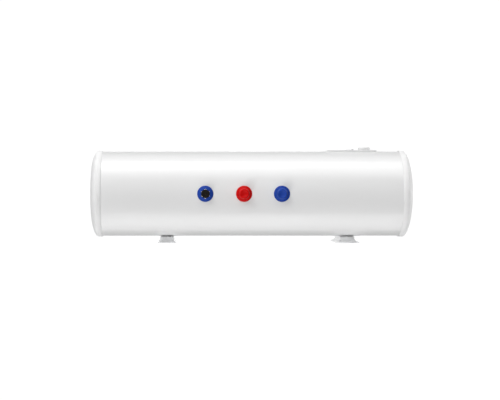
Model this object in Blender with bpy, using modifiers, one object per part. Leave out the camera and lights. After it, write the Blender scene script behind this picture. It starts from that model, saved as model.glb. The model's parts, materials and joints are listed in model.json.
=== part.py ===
"""Slim wall-hung electric storage water heater, about 30 litres, built as separate pieces.

Metres, +Z up, -Y the front with the controls, +Y the wall, +X to the right as seen from the front.
The origin is on the wall plane, level with the tank's axis, at mid-length.
"""

import math

import bmesh
import bpy
from mathutils import Matrix, Vector

# ---- driving dimensions ----
GAP = 0.0003  # left between pieces that touch
ROUND = 48  # facets round the casing and the caps
TANK_ROUND = 32  # facets round the tank and the foam
FITTING_ROUND = 24
SMALL_ROUND = 12

CASING_RADIUS = 0.135
CASING_SHEET = 0.0008
CASING_HALF = 0.4815
THROUGH_SHEET = (0.12, 0.15)  # radii between which a cutter passes the casing's sheet
WALL_STANDOFF = 0.0205
AXIS_Y = -(CASING_RADIUS + WALL_STANDOFF)

CAP_RADIUS = 0.1366
CAP_MOUTH = 0.468  # |x| of the edge that overlaps the casing
CAP_RIM = 0.4832  # |x| where the dome starts
CAP_DOME = 0.0203
CAP_WALL = 0.002
CAP_DOME_POWER = 5.3
CAP_DOME_ROOT = 0.8
CAP_SCREW_X = 0.4757
CAP_SCREW_ANGLES = (40.0, -40.0)  # degrees from straight up
CAP_SCREW_RADIUS = 0.0015

TANK_RADIUS = 0.115
TANK_WALL = 0.002
TANK_LEFT = -0.425
TANK_RIGHT = 0.300
TANK_DOME = 0.032
NECK_RADIUS = 0.046
NECK_BORE = 0.032
NECK_FACE = 0.338
FOAM_LEFT = -0.466
FOAM_RIGHT = 0.326
SADDLE_HALF = (0.016, 0.030)

DRAIN_X = -0.1446
HOT_X = -0.0252
COLD_X = 0.0914
STUB_RADIUS = 0.0105
STUB_BORE = 0.0078
STUB_DROP = 0.0204  # how far a stub reaches below the casing
STUB_HOLE = STUB_RADIUS + 0.001
ROSETTE_RADIUS = 0.0250
ROSETTE_BORE = 0.0111
HEX_FLATS = 0.0260
DRAIN_DROP = 0.021
PLUG_RADIUS = 0.0134

BRACKET_X = (-0.2637, 0.3065)
BRACKET_FLARE = (0.0062, 0.0140)  # how far each rim spreads, and over what depth
BRACKET_FLARE_DEPTH = (0.0055, 0.0085)
BRACKET_HALF_WIDTH = 0.0226
BRACKET_HALF_LENGTH = 0.084
BRACKET_Z = 0.047  # height of the brackets' middle over the axis
BRACKET_TAPER = 0.0014
BRACKET_SHEET = 0.0016
PLATE_THICK = 0.0025
HOOK_SLOT_HALF = 0.011
HOOK_SLOT_Z = (0.094, 0.108)
THROUGH_BACK = (0.01, 0.03)  # depths from the wall between which a cutter passes pan and casing
BRACKET_BOLT_Z = 0.018
BRACKET_BOLT_RADIUS = 0.004

FASCIA_X = (0.242, 0.398)
FASCIA_HALF_HEIGHT = 0.033
FASCIA_FRONT = 0.138  # distance of the front face from the tank's axis
FASCIA_CORNER = 0.008
WINDOW_X = (0.301, 0.390)
WINDOW_Z = (-0.022, 0.026)

KNOB_X = 0.3625
KNOB_RADIUS = 0.0195
KNOB_FRONT = 0.1468
ROCKER_X = 0.317
ROCKER_HALF = 0.0096
ROCKER_TILT = 7.0  # degrees either way from level
ROCKER_PIVOT = 0.1373
LAMP_Z = 0.0205
LAMP_RADIUS = 0.003

FLANGE_THICK = 0.006
GASKET_THICK = 0.003
FLANGE_BOLTS = 4
FLANGE_BOLT_CIRCLE = 0.039
FLANGE_BOLT_RADIUS = 0.003
ELEMENT_RADIUS = 0.0042
ELEMENT_SPREAD = 0.018
ELEMENT_TOP = -0.010
ELEMENT_LOW = -0.055
ELEMENT_FAR = 0.048
ELEMENT_OUT = 0.007
TERMINAL_LENGTH = 0.012
ANODE_Z = 0.0195
ANODE_RADIUS = 0.009
WELL_Z = -0.002
WELL_RADIUS = 0.0078
WELL_BORE = 0.0068
WELL_END = 0.080
WELL_LIP = 0.003
BULB_RADIUS = 0.003
BULB_SPREAD = 0.0034
BULB_START = 0.095
BULB_END = 0.205

PANEL_FRONT = 0.1275  # front face of the inner control bracket, from the axis
PANEL_SHEET = 0.001
PANEL_X = (0.3335, 0.3955)
PANEL_HALF_HEIGHT = 0.040
LEG_BACK = 0.060
THERMOSTAT_SIZE = (0.040, 0.034, 0.032)
CUTOUT_SIZE = (0.020, 0.026, 0.026)
CUTOUT_OUT = 0.105  # centre of the cut-out, from the axis to the front
BUTTON_RADIUS = 0.0026
BLOCK_SIZE = (0.016, 0.038, 0.020)
BLOCK_LOW = -0.0395
BLOCK_OUT = 0.098  # centre of the terminal block, from the axis to the front
POLE_PITCH = 0.012
GROMMET_X = 0.440
GROMMET_HOLE = 0.0078
WIRE_RADIUS = 0.0012
CAPILLARY_RADIUS = 0.0007

# ---- colours: base colour, roughness, metallic ----
FINISHES = {
    "casing_enamel": ((0.88, 0.88, 0.88), 0.35, 0.0),
    "cap_plastic": ((0.86, 0.86, 0.86), 0.4, 0.0),
    "bracket_steel": ((0.72, 0.73, 0.74), 0.45, 0.3),
    "zinc_steel": ((0.66, 0.66, 0.64), 0.35, 1.0),
    "bright_steel": ((0.80, 0.77, 0.70), 0.2, 1.0),
    "tank_steel": ((0.45, 0.50, 0.60), 0.4, 0.6),
    "foam": ((0.80, 0.70, 0.42), 0.9, 0.0),
    "rubber": ((0.03, 0.03, 0.03), 0.8, 0.0),
    "black_plastic": ((0.02, 0.02, 0.02), 0.5, 0.0),
    "blue_plastic": ((0.03, 0.08, 0.38), 0.4, 0.0),
    "red_plastic": ((0.55, 0.02, 0.02), 0.4, 0.0),
    "knob_plastic": ((0.75, 0.75, 0.75), 0.35, 0.0),
    "inner_plastic": ((0.55, 0.54, 0.50), 0.6, 0.0),
    "lens": ((0.70, 0.12, 0.05), 0.15, 0.0),
    "brass": ((0.72, 0.53, 0.25), 0.35, 1.0),
    "copper": ((0.72, 0.38, 0.22), 0.4, 1.0),
    "magnesium": ((0.62, 0.62, 0.60), 0.5, 0.9),
    "live_insulation": ((0.25, 0.10, 0.04), 0.5, 0.0),
    "neutral_insulation": ((0.05, 0.15, 0.50), 0.5, 0.0),
    "earth_insulation": ((0.25, 0.45, 0.05), 0.5, 0.0),
}

OBJECT_NAME = "tank_water_heater"
MERGE_DISTANCE = 0.00001
SMOOTH_ANGLE = math.radians(35)

# Turns a shape's own +Z onto the named direction, its own +X staying square to it.
FACING = {
    "+X": Matrix.Rotation(math.radians(90), 4, "Y"),
    "-X": Matrix.Rotation(math.radians(-90), 4, "Y"),
    "-Y": Matrix.Rotation(math.radians(90), 4, "X"),
    "+Y": Matrix.Rotation(math.radians(-90), 4, "X"),
    "+Z": Matrix.Identity(4),
    "-Z": Matrix.Rotation(math.radians(180), 4, "X"),
}


# ---- scene, materials and helpers ----
def clear_scene():
    for obj in list(bpy.data.objects):
        bpy.data.objects.remove(obj)


def new_collection(name):
    collection = bpy.data.collections.new(name)
    bpy.context.scene.collection.children.link(collection)
    return collection


def make_material(name, colour, roughness, metallic):
    material = bpy.data.materials.new(name)
    material.use_nodes = True
    shader = material.node_tree.nodes["Principled BSDF"]
    shader.inputs["Base Color"].default_value = (*colour, 1.0)
    shader.inputs["Roughness"].default_value = roughness
    shader.inputs["Metallic"].default_value = metallic
    material.diffuse_color = (*colour, 1.0)
    return material


def piece(name, mesh, finish, placing=None, smooth=True):
    """Puts a mesh in the object's collection as the named sub-part."""
    obj = bpy.data.objects.new(name, mesh)
    PARTS.objects.link(obj)
    mesh.materials.append(MATERIALS[finish])
    if placing is not None:
        obj.matrix_world = placing
    if smooth:
        mesh.shade_smooth()
        mesh.set_sharp_from_angle(angle=SMOOTH_ANGLE)
    return obj


def cutter(name, mesh, placing=None):
    """Puts a mesh among the cutters, which aren't part of the object."""
    obj = bpy.data.objects.new(name, mesh)
    CUTTERS.objects.link(obj)
    obj.hide_render = True
    obj.display_type = "WIRE"
    if placing is not None:
        obj.matrix_world = placing
    return obj


def bool_with(obj, tool, operation="DIFFERENCE"):
    modifier = obj.modifiers.new(operation.lower(), "BOOLEAN")
    modifier.operation = operation
    modifier.solver = "EXACT"
    modifier.object = tool


def mesh_from(bm, name):
    mesh = bpy.data.meshes.new(name)
    bm.to_mesh(mesh)
    bm.free()
    return mesh


def outline_mesh(name, outline, closed):
    """A profile of (radius, height) pairs as edges in the XZ plane."""
    bm = bmesh.new()
    points = [bm.verts.new((radius, 0.0, height)) for radius, height in outline]
    for first, second in zip(points, points[1:]):
        bm.edges.new((first, second))
    if closed:
        bm.edges.new((points[-1], points[0]))
    return mesh_from(bm, name)


def add_screw(obj, steps):
    modifier = obj.modifiers.new("turn", "SCREW")
    modifier.axis = "Z"
    modifier.angle = math.tau
    modifier.steps = steps
    modifier.render_steps = steps
    modifier.use_merge_vertices = True
    modifier.merge_threshold = 0.0001
    modifier.use_smooth_shade = False


def at(x, y, z, facing="+Z"):
    return Matrix.Translation((x, y, z)) @ FACING[facing]


def turned(name, outline, finish, placing, steps=ROUND, closed=True):
    """A profile turned round its own Z: it runs down the outer side, then up the inner side."""
    obj = piece(name, outline_mesh(name, outline, closed), finish, placing, smooth=False)
    add_screw(obj, steps)
    return obj


def turned_cutter(name, outline, placing, steps=ROUND, closed=False):
    obj = cutter(name, outline_mesh(name, outline, closed), placing)
    add_screw(obj, steps)
    return obj


def solid_outline(radius, low, high):
    """The profile of a plain solid cylinder, from its top centre to its bottom centre."""
    return [(0.0, high), (radius, high), (radius, low), (0.0, low)]


def cylinder_mesh(name, radius, low, high, sides=SMALL_ROUND):
    bm = bmesh.new()
    shift = Matrix.Translation((0, 0, (low + high) / 2))
    bmesh.ops.create_cone(
        bm,
        cap_ends=True,
        segments=sides,
        radius1=radius,
        radius2=radius,
        depth=high - low,
        matrix=shift,
    )
    return mesh_from(bm, name)


def cylinder(name, radius, low, high, finish, placing, sides=SMALL_ROUND):
    return piece(name, cylinder_mesh(name, radius, low, high, sides), finish, placing)


def bore(target, radius, low, high, placing, sides=SMALL_ROUND):
    """Drills a round hole in the target along the placing's own Z."""
    name = f"{target.name}_bore_{len(target.modifiers)}"
    bool_with(target, cutter(name, cylinder_mesh(name, radius, low, high, sides), placing))


def box_mesh(name, low, high, bevel=0.0, segments=1):
    low, high = Vector(low), Vector(high)
    bm = bmesh.new()
    bmesh.ops.create_cube(bm, size=1.0)
    bmesh.ops.scale(bm, vec=high - low, verts=bm.verts)
    bmesh.ops.translate(bm, vec=(high + low) / 2, verts=bm.verts)
    if bevel:
        bmesh.ops.bevel(
            bm, geom=bm.edges[:], offset=bevel, segments=segments, profile=0.5, affect="EDGES"
        )
    return mesh_from(bm, name)


def box(name, low, high, finish, bevel=0.0, segments=1):
    return piece(name, box_mesh(name, low, high, bevel, segments), finish)


def box_cut(target, low, high):
    name = f"{target.name}_slot_{len(target.modifiers)}"
    bool_with(target, cutter(name, box_mesh(name, low, high)))


def slab_mesh(name, outline, half_thickness):
    """A flat outline in its own XY, thickened both ways along its own Z."""
    curve = bpy.data.curves.new(name, "CURVE")
    curve.dimensions = "2D"
    curve.fill_mode = "BOTH"
    curve.extrude = half_thickness
    spline = curve.splines.new("POLY")
    spline.points.add(len(outline) - 1)
    for point, (u, v) in zip(spline.points, outline):
        point.co = (u, v, 0.0, 1.0)
    spline.use_cyclic_u = True
    return mesh_of_curve(curve, name)


def mesh_of_curve(curve, name):
    """The welded mesh that a curve evaluates to."""
    return evaluated_mesh(bpy.data.objects.new(name + "_curve", curve), name)


def evaluated_mesh(holder, name):
    """The welded mesh of a curve or of an object with modifiers, which is then removed."""
    bpy.context.scene.collection.objects.link(holder)
    graph = bpy.context.evaluated_depsgraph_get()
    mesh = bpy.data.meshes.new_from_object(holder.evaluated_get(graph))
    bpy.data.objects.remove(holder)
    bm = bmesh.new()
    bm.from_mesh(mesh)
    bmesh.ops.remove_doubles(bm, verts=bm.verts, dist=MERGE_DISTANCE)
    bmesh.ops.recalc_face_normals(bm, faces=bm.faces)
    bm.to_mesh(mesh)
    bm.free()
    mesh.name = name
    return mesh


def tube(name, points, radius, finish, resolution=1):
    """A round wire along a list of points, with flat ends."""
    curve = bpy.data.curves.new(name, "CURVE")
    curve.dimensions = "3D"
    curve.bevel_depth = radius
    curve.bevel_resolution = resolution
    curve.use_fill_caps = True
    spline = curve.splines.new("POLY")
    spline.points.add(len(points) - 1)
    for target, point in zip(spline.points, points):
        target.co = (*point, 1.0)
    return piece(name, mesh_of_curve(curve, name), finish)


def smooth_route(knots, per_span=3):
    """Points on a Catmull-Rom curve through the knots."""
    knots = [Vector(knot) for knot in knots]
    ends = [2 * knots[0] - knots[1], *knots, 2 * knots[-1] - knots[-2]]
    route = []
    for i in range(len(knots) - 1):
        a, b, c, d = ends[i : i + 4]
        for step in range(per_span):
            t = step / per_span
            route.append(
                0.5
                * (
                    2 * b
                    + (c - a) * t
                    + (2 * a - 5 * b + 4 * c - d) * t**2
                    + (3 * b - a - 3 * c + d) * t**3
                )
            )
    route.append(knots[-1])
    return route


def repeated(stem, mesh, finish, places):
    """Numbered copies of one fastener, all sharing its mesh."""
    for number, place in enumerate(places, 1):
        copy = bpy.data.objects.new(f"{stem}_{number}", mesh)
        PARTS.objects.link(copy)
        copy.matrix_world = place
    mesh.materials.append(MATERIALS[finish])
    mesh.shade_smooth()
    mesh.set_sharp_from_angle(angle=SMOOTH_ANGLE)


def fastener_mesh(name, head_radius, head_high, shank_radius, shank_low):
    """A head from 0 up and a thinner shank down from it, turned in one piece round its own Z."""
    outline = [
        (0.0, head_high),
        (head_radius, head_high),
        (head_radius, 0.0),
        (shank_radius, 0.0),
        (shank_radius, shank_low),
        (0.0, shank_low),
    ]
    holder = bpy.data.objects.new(name + "_profile", outline_mesh(name, outline, False))
    add_screw(holder, SMALL_ROUND)
    return evaluated_mesh(holder, name)


def dome_points(radius, depth, base, fractions, sign=1.0):
    """Points of a half-ellipse dome, from the given fractions of its radius."""
    return [(radius * f, base + sign * depth * math.sqrt(1 - f * f)) for f in fractions]


# ---- casing and end caps ----
def radial(x, angle_degrees, distance):
    """A place on a radius of the casing, its own +Z pointing out; the angle is from straight up."""
    angle = math.radians(angle_degrees)
    out = Vector((0.0, math.sin(angle), math.cos(angle)))
    centre = Vector((x, AXIS_Y, 0.0)) + out * distance
    return Matrix.Translation(centre) @ Matrix.Rotation(-angle, 4, "X")


def cap_screw_places(side, distance):
    return [radial(side * CAP_SCREW_X, angle, distance) for angle in CAP_SCREW_ANGLES]


def build_casing():
    inner = CASING_RADIUS - CASING_SHEET
    outline = [
        (CASING_RADIUS, CASING_HALF),
        (CASING_RADIUS, -CASING_HALF),
        (inner, -CASING_HALF),
        (inner, CASING_HALF),
    ]
    casing = turned("outer_casing", outline, "casing_enamel", at(0, AXIS_Y, 0, "+X"))
    for x in (DRAIN_X, HOT_X, COLD_X):
        bore(casing, STUB_HOLE, *THROUGH_SHEET, at(x, AXIS_Y, 0, "-Z"), FITTING_ROUND)
    box_cut(
        casing,
        (WINDOW_X[0], AXIS_Y - THROUGH_SHEET[1], WINDOW_Z[0]),
        (WINDOW_X[1], AXIS_Y - THROUGH_SHEET[0], WINDOW_Z[1]),
    )
    bore(casing, GROMMET_HOLE, *THROUGH_SHEET, at(GROMMET_X, AXIS_Y, 0, "+Z"))
    for side in (1, -1):
        for place in cap_screw_places(side, 0):
            bore(casing, CAP_SCREW_RADIUS + GAP, *THROUGH_SHEET, place)
    for x in BRACKET_X:
        for z in (BRACKET_BOLT_Z, -BRACKET_BOLT_Z):
            place = at(x, 0, z, "-Y")
            bore(casing, BRACKET_BOLT_RADIUS + GAP, *THROUGH_BACK, place)


def cap_dome_height(fraction):
    return CAP_DOME * (1 - fraction**CAP_DOME_POWER) ** CAP_DOME_ROOT


def cap_outline():
    """The end cap's profile: dome and band outside, then the sleeve and the dome's inside."""
    fractions = (0.0, 0.5, 0.7, 0.82, 0.9, 0.96, 1.0)
    outer = [(CAP_RADIUS * f, CAP_RIM + cap_dome_height(f)) for f in fractions]
    sleeve = CASING_RADIUS + GAP
    step = CASING_HALF + GAP
    inner_radius = CASING_RADIUS - 0.003
    inner_fractions = (0.95, 0.8, 0.5, 0.0)
    inner = [
        (inner_radius * f, CAP_RIM - CAP_WALL + cap_dome_height(f)) for f in inner_fractions
    ]
    ledge = [(sleeve, CAP_MOUTH), (sleeve, step), (inner_radius, step)]
    return outer + [(CAP_RADIUS, CAP_MOUTH)] + ledge + inner


def build_end_cap(name, side):
    facing = "+X" if side > 0 else "-X"
    cap = turned(name, cap_outline(), "cap_plastic", at(0, AXIS_Y, 0, facing), closed=False)
    for place in cap_screw_places(side, 0):
        bore(cap, CAP_SCREW_RADIUS + GAP, *THROUGH_SHEET, place)


def build_cap_screws(stem, side):
    mesh = fastener_mesh(stem, 0.0034, 0.0016, CAP_SCREW_RADIUS, -0.009)
    repeated(stem, mesh, "zinc_steel", cap_screw_places(side, CAP_RADIUS + GAP))


# ---- tank, foam and saddles ----
def tank_profile(radius, dome, right_fractions):
    """The tank's side as (radius, x), from its right dome to its left apex."""
    right = dome_points(radius, dome, TANK_RIGHT, right_fractions)
    left = dome_points(radius, dome, TANK_LEFT, (1.0, 0.9, 0.7, 0.4, 0.0), -1.0)
    return right + left


def build_tank():
    inner_radius = TANK_RADIUS - TANK_WALL
    inner_dome = TANK_DOME - TANK_WALL
    rising = (0.7, 0.9, 1.0)
    neck_fraction = NECK_RADIUS / TANK_RADIUS
    bore_fraction = NECK_BORE / inner_radius
    outside = tank_profile(TANK_RADIUS, TANK_DOME, (neck_fraction, *rising))
    inside = tank_profile(inner_radius, inner_dome, (bore_fraction, *rising))
    neck = [(NECK_BORE, NECK_FACE), (NECK_RADIUS, NECK_FACE)]
    outline = inside[::-1] + neck + outside
    place = at(0, AXIS_Y, 0, "+X")
    tank = turned("inner_tank", outline, "tank_steel", place, TANK_ROUND, closed=False)
    for x in (DRAIN_X, HOT_X, COLD_X):
        bore(tank, STUB_RADIUS + GAP, 0.10, 0.13, at(x, AXIS_Y, 0, "-Z"), FITTING_ROUND)
    for place in flange_bolt_places(0.0):
        bore(tank, 0.0033, NECK_FACE - 0.0075, NECK_FACE + 0.01, place)


def flange_bolt_places(x):
    """Places on the flange's bolt circle, their own +Z along +X."""
    places = []
    for i in range(FLANGE_BOLTS):
        angle = math.tau * (i + 0.5) / FLANGE_BOLTS
        y = AXIS_Y + FLANGE_BOLT_CIRCLE * math.sin(angle)
        z = FLANGE_BOLT_CIRCLE * math.cos(angle)
        places.append(at(x, y, z, "+X"))
    return places


def build_foam():
    hug_radius = TANK_RADIUS + GAP
    hug_dome = TANK_DOME + GAP
    mouth = math.sqrt(1 - ((FOAM_RIGHT - TANK_RIGHT) / hug_dome) ** 2)
    inside = tank_profile(hug_radius, hug_dome, (mouth, 0.7, 0.9, 1.0))
    outer = CASING_RADIUS - CASING_SHEET - GAP
    outside = [(outer, FOAM_RIGHT), (outer, FOAM_LEFT), (0.0, FOAM_LEFT)]
    place = at(0, AXIS_Y, 0, "+X")
    outline = inside[::-1] + outside
    foam = turned("insulation_foam", outline, "foam", place, TANK_ROUND, closed=False)
    for x in (DRAIN_X, HOT_X, COLD_X):
        bore(foam, STUB_RADIUS + GAP, 0.10, 0.15, at(x, AXIS_Y, 0, "-Z"), FITTING_ROUND)
    box_cut(
        foam,
        (WINDOW_X[0] + 0.002, AXIS_Y - THROUGH_SHEET[1], WINDOW_Z[0]),
        (FOAM_RIGHT + 0.01, AXIS_Y - 0.1158, WINDOW_Z[1]),
    )
    room_x, room_z = (half + GAP for half in SADDLE_HALF)
    for x in BRACKET_X:
        low = (x - room_x, AXIS_Y + 0.09, -room_z)
        box_cut(foam, low, (x + room_x, AXIS_Y + 0.15, room_z))


def build_saddle(name, x):
    """A steel block between the tank and the casing that takes the bracket's two bolts."""
    half_x, half_z = SADDLE_HALF
    low = (x - half_x, AXIS_Y + 0.10, -half_z)
    high = (x + half_x, AXIS_Y + 0.14, half_z)
    saddle = box(name, low, high, "zinc_steel")
    place = at(x, AXIS_Y, 0, "+X")
    tank_space = turned_cutter(name + "_tank", solid_outline(TANK_RADIUS + GAP, -0.04, 0.04), place)
    bool_with(saddle, tank_space)
    reach = CASING_RADIUS - CASING_SHEET - GAP
    casing_space = turned_cutter(name + "_casing", solid_outline(reach, -0.04, 0.04), place)
    bool_with(saddle, casing_space, "INTERSECT")
    for z in (BRACKET_BOLT_Z, -BRACKET_BOLT_Z):
        bolt_place = at(x, 0, z, "-Y")
        bore(saddle, BRACKET_BOLT_RADIUS + GAP, 0.01, 0.06, bolt_place)


# ---- wall brackets ----
def rounded_ring(half_width, half_length, corner, steps=3):
    """Corner-rounded rectangle points in XZ, going round once."""
    points = []
    for quadrant, (sx, sz) in enumerate(((1, 1), (-1, 1), (-1, -1), (1, -1))):
        for step in range(steps + 1):
            angle = math.radians(90 * quadrant + 90 * step / steps)
            u = sx * (half_width - corner) + corner * math.cos(angle)
            v = sz * (half_length - corner) + corner * math.sin(angle)
            points.append((u, v))
    return points


def build_bracket(name, x, flare, flare_depth):
    """A pressed pan, its floor on the casing and its rim flared out to the wall.

    The sheet is an open surface lofted through rounded rectangles and then thickened inwards."""
    floor_y = -WALL_STANDOFF + GAP
    rim_y = -BRACKET_SHEET
    width, length = BRACKET_HALF_WIDTH, BRACKET_HALF_LENGTH
    top_width, top_length = width - BRACKET_TAPER, length - BRACKET_TAPER
    rings = [
        (top_width - 0.0026, top_length - 0.0026, 0.002, floor_y),
        (top_width - 0.0010, top_length - 0.0010, 0.004, floor_y + 0.0008),
        (top_width, top_length, 0.0045, floor_y + 0.003),
        (width, length, 0.005, rim_y - flare_depth),
        (width + 0.42 * flare, length + 0.0025, 0.006, rim_y - 0.5 * flare_depth),
        (width + flare, length + 0.006, 0.008, rim_y),
    ]
    bm = bmesh.new()
    loops = []
    for half_width, half_length, corner, y in rings:
        outline = rounded_ring(half_width, half_length, corner)
        loops.append([bm.verts.new((x + u, y, BRACKET_Z + v)) for u, v in outline])
    count = len(loops[0])
    for lower, upper in zip(loops, loops[1:]):
        for i in range(count):
            j = (i + 1) % count
            bm.faces.new((lower[i], lower[j], upper[j], upper[i]))
    bm.faces.new(loops[0])
    bmesh.ops.recalc_face_normals(bm, faces=bm.faces)
    bracket = piece(name, mesh_from(bm, name), "bracket_steel")
    sheet = bracket.modifiers.new("sheet", "SOLIDIFY")
    sheet.thickness = BRACKET_SHEET
    sheet.offset = -1.0
    for z in (BRACKET_BOLT_Z, -BRACKET_BOLT_Z):
        place = at(x, 0, z, "-Y")
        bore(bracket, BRACKET_BOLT_RADIUS + GAP, *THROUGH_BACK, place)


def build_hook_plate(name, x, flare):
    """A flat plate welded in the rim: its outer face lies on the wall plane."""
    half_width = BRACKET_HALF_WIDTH + 0.3 * flare - 0.0006
    outline = rounded_ring(half_width, BRACKET_HALF_LENGTH + 0.0015, 0.007)
    mesh = slab_mesh(name, outline, PLATE_THICK / 2)
    place = at(x, -PLATE_THICK / 2, BRACKET_Z, "-Y")
    plate = piece(name, mesh, "zinc_steel", place)
    slot_low, slot_high = HOOK_SLOT_Z
    box_cut(plate, (x - HOOK_SLOT_HALF, -0.01, slot_low), (x + HOOK_SLOT_HALF, 0.01, slot_high))
    for z in (BRACKET_BOLT_Z, -BRACKET_BOLT_Z):
        place = at(x, 0, z, "-Y")
        bore(plate, 0.0078, -0.01, 0.01, place)


def build_bracket_bolts(stem, x):
    """Two bolts, heads inside the pan and shanks in the saddle."""
    mesh = fastener_mesh(stem, 0.0070, 0.0052, BRACKET_BOLT_RADIUS, -0.018)
    head_y = -WALL_STANDOFF + GAP + BRACKET_SHEET + GAP
    places = []
    for z in (BRACKET_BOLT_Z, -BRACKET_BOLT_Z):
        places.append(at(x, head_y, z, "+Y"))
    repeated(stem, mesh, "zinc_steel", places)


# ---- pipe fittings, below the casing; heights are measured down from its lowest line ----
def fitting_place(x):
    return at(x, AXIS_Y, -CASING_RADIUS, "-Z")


def build_rosette(name, x, finish, shoulder_radius, shoulder_drop):
    outline = [
        (ROSETTE_BORE, shoulder_drop),
        (shoulder_radius, shoulder_drop),
        (ROSETTE_RADIUS, 0.0014),
        (ROSETTE_RADIUS, -0.006),
        (ROSETTE_BORE, -0.006),
    ]
    rosette = turned(name, outline, finish, fitting_place(x), FITTING_ROUND)
    casing_space = turned_cutter(
        name + "_casing",
        solid_outline(CASING_RADIUS + GAP, -0.05, 0.05),
        at(x, AXIS_Y, 0, "+X"),
    )
    bool_with(rosette, casing_space)


def build_stub(name, x):
    top = TANK_RADIUS - TANK_WALL - CASING_RADIUS - 0.004
    outline = [
        (STUB_BORE, STUB_DROP),
        (STUB_RADIUS - 0.001, STUB_DROP),
        (STUB_RADIUS, STUB_DROP - 0.001),
        (STUB_RADIUS, top),
        (STUB_BORE, top),
    ]
    turned(name, outline, "zinc_steel", fitting_place(x), FITTING_ROUND)


def build_cover_cap(name, x, finish):
    """A push-on cover for a stub's thread, with a foot ring, drafted sides and a dished end."""
    outline = [
        (0.0, 0.0246),
        (0.0070, 0.0248),
        (0.0112, 0.0258),
        (0.0132, 0.0260),
        (0.0142, 0.0250),
        (0.0178, 0.0080),
        (0.0190, 0.0076),
        (0.0190, 0.0050),
        (0.0112, 0.0050),
        (0.0112, 0.0226),
        (0.0, 0.0226),
    ]
    turned(name, outline, finish, fitting_place(x), FITTING_ROUND, closed=False)


def hexagon(flats):
    """Hexagon corners, two of them on the own Y axis."""
    corner = flats / math.sqrt(3)
    angles = [math.radians(90 + 60 * i) for i in range(6)]
    return [(corner * math.cos(a), corner * math.sin(a)) for a in angles]


def build_drain():
    """The drain fitting's hexagon with its spigot up into the tank, and the plug in its mouth."""
    hex_low, hex_high = 0.0086, DRAIN_DROP
    mesh = slab_mesh("drain_fitting", hexagon(HEX_FLATS), (hex_high - hex_low) / 2)
    mesh.transform(Matrix.Translation((0, 0, (hex_low + hex_high) / 2)))
    fitting = piece("drain_fitting", mesh, "bright_steel", fitting_place(DRAIN_X), smooth=False)
    edge = fitting.modifiers.new("edge", "BEVEL")
    edge.width = 0.0006
    edge.segments = 1
    top = TANK_RADIUS - TANK_WALL - CASING_RADIUS - 0.004
    spigot = cylinder_mesh("drain_spigot", STUB_RADIUS, top, hex_low + 0.004, FITTING_ROUND)
    bool_with(fitting, cutter("drain_spigot", spigot, fitting_place(DRAIN_X)), "UNION")
    bore(fitting, 0.0085, top - 0.01, DRAIN_DROP + 0.01, fitting_place(DRAIN_X), FITTING_ROUND)

    face = DRAIN_DROP + GAP
    outline = [
        (0.0, face + 0.0024),
        (0.0066, face + 0.0024),
        (0.0074, face + 0.0034),
        (PLUG_RADIUS - 0.001, face + 0.0034),
        (PLUG_RADIUS, face + 0.0024),
        (PLUG_RADIUS, face),
        (0.0081, face),
        (0.0081, face - 0.012),
        (0.0, face - 0.012),
    ]
    place = fitting_place(DRAIN_X)
    turned("drain_plug", outline, "black_plastic", place, FITTING_ROUND, closed=False)


def build_dip_tube():
    """The hot outlet's tube, from inside the stub up to the warm top of the tank."""
    outline = [
        (0.0056, 0.106),
        (0.0072, 0.106),
        (0.0072, -0.128),
        (0.0056, -0.128),
    ]
    turned("hot_dip_tube", outline, "inner_plastic", at(HOT_X, AXIS_Y, 0), SMALL_ROUND)


def build_diffuser():
    """The cold inlet's hood, which turns the flow sideways along the tank's floor."""
    top = -0.094
    stub_top = -(TANK_RADIUS - TANK_WALL) + 0.004
    outline = [
        (0.0, top),
        (0.011, top),
        (0.013, top - 0.002),
        (0.013, top - 0.010),
        (0.0072, top - 0.010),
        (0.0072, stub_top - 0.012),
        (0.0058, stub_top - 0.012),
        (0.0058, top - 0.003),
        (0.0, top - 0.003),
    ]
    place = at(COLD_X, AXIS_Y, 0)
    name = "cold_inlet_diffuser"
    diffuser = turned(name, outline, "inner_plastic", place, SMALL_ROUND, closed=False)
    box_cut(
        diffuser,
        (COLD_X - 0.03, AXIS_Y - 0.0035, top - 0.0095),
        (COLD_X + 0.03, AXIS_Y + 0.0035, top - 0.0035),
    )


# ---- heating flange and what it carries ----
def build_flange_stack():
    gasket_x = NECK_FACE + GAP
    flange_x = gasket_x + GASKET_THICK + GAP
    axis_place = at(0, AXIS_Y, 0, "+X")

    gasket_outline = [
        (0.0455, gasket_x + GASKET_THICK),
        (0.0455, gasket_x),
        (0.0315, gasket_x),
        (0.0315, gasket_x + GASKET_THICK),
    ]
    gasket = turned("flange_gasket", gasket_outline, "rubber", axis_place, FITTING_ROUND)
    flange_mesh = cylinder_mesh(
        "heating_flange", NECK_RADIUS, flange_x, flange_x + FLANGE_THICK, FITTING_ROUND
    )
    flange = piece("heating_flange", flange_mesh, "zinc_steel", axis_place)
    for target in (gasket, flange):
        for place in flange_bolt_places(0.0):
            bore(target, 0.0033, NECK_FACE - 0.01, NECK_FACE + 0.03, place)
    for side in (1, -1):
        place = at(0, AXIS_Y + side * ELEMENT_SPREAD, ELEMENT_TOP, "+X")
        bore(flange, ELEMENT_RADIUS + GAP, NECK_FACE - 0.01, NECK_FACE + 0.03, place)
    bore(flange, WELL_RADIUS + GAP, 0.32, 0.37, at(0, AXIS_Y, WELL_Z, "+X"))
    bore(flange, 0.0033, 0.32, 0.37, at(0, AXIS_Y, ANODE_Z, "+X"))

    outer_face = flange_x + FLANGE_THICK
    shank_low = NECK_FACE - 0.007 - outer_face
    bolt = fastener_mesh("flange_bolt", 0.0058, 0.004, FLANGE_BOLT_RADIUS, shank_low)
    repeated("flange_bolt", bolt, "zinc_steel", flange_bolt_places(outer_face + GAP))
    return outer_face


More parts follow.
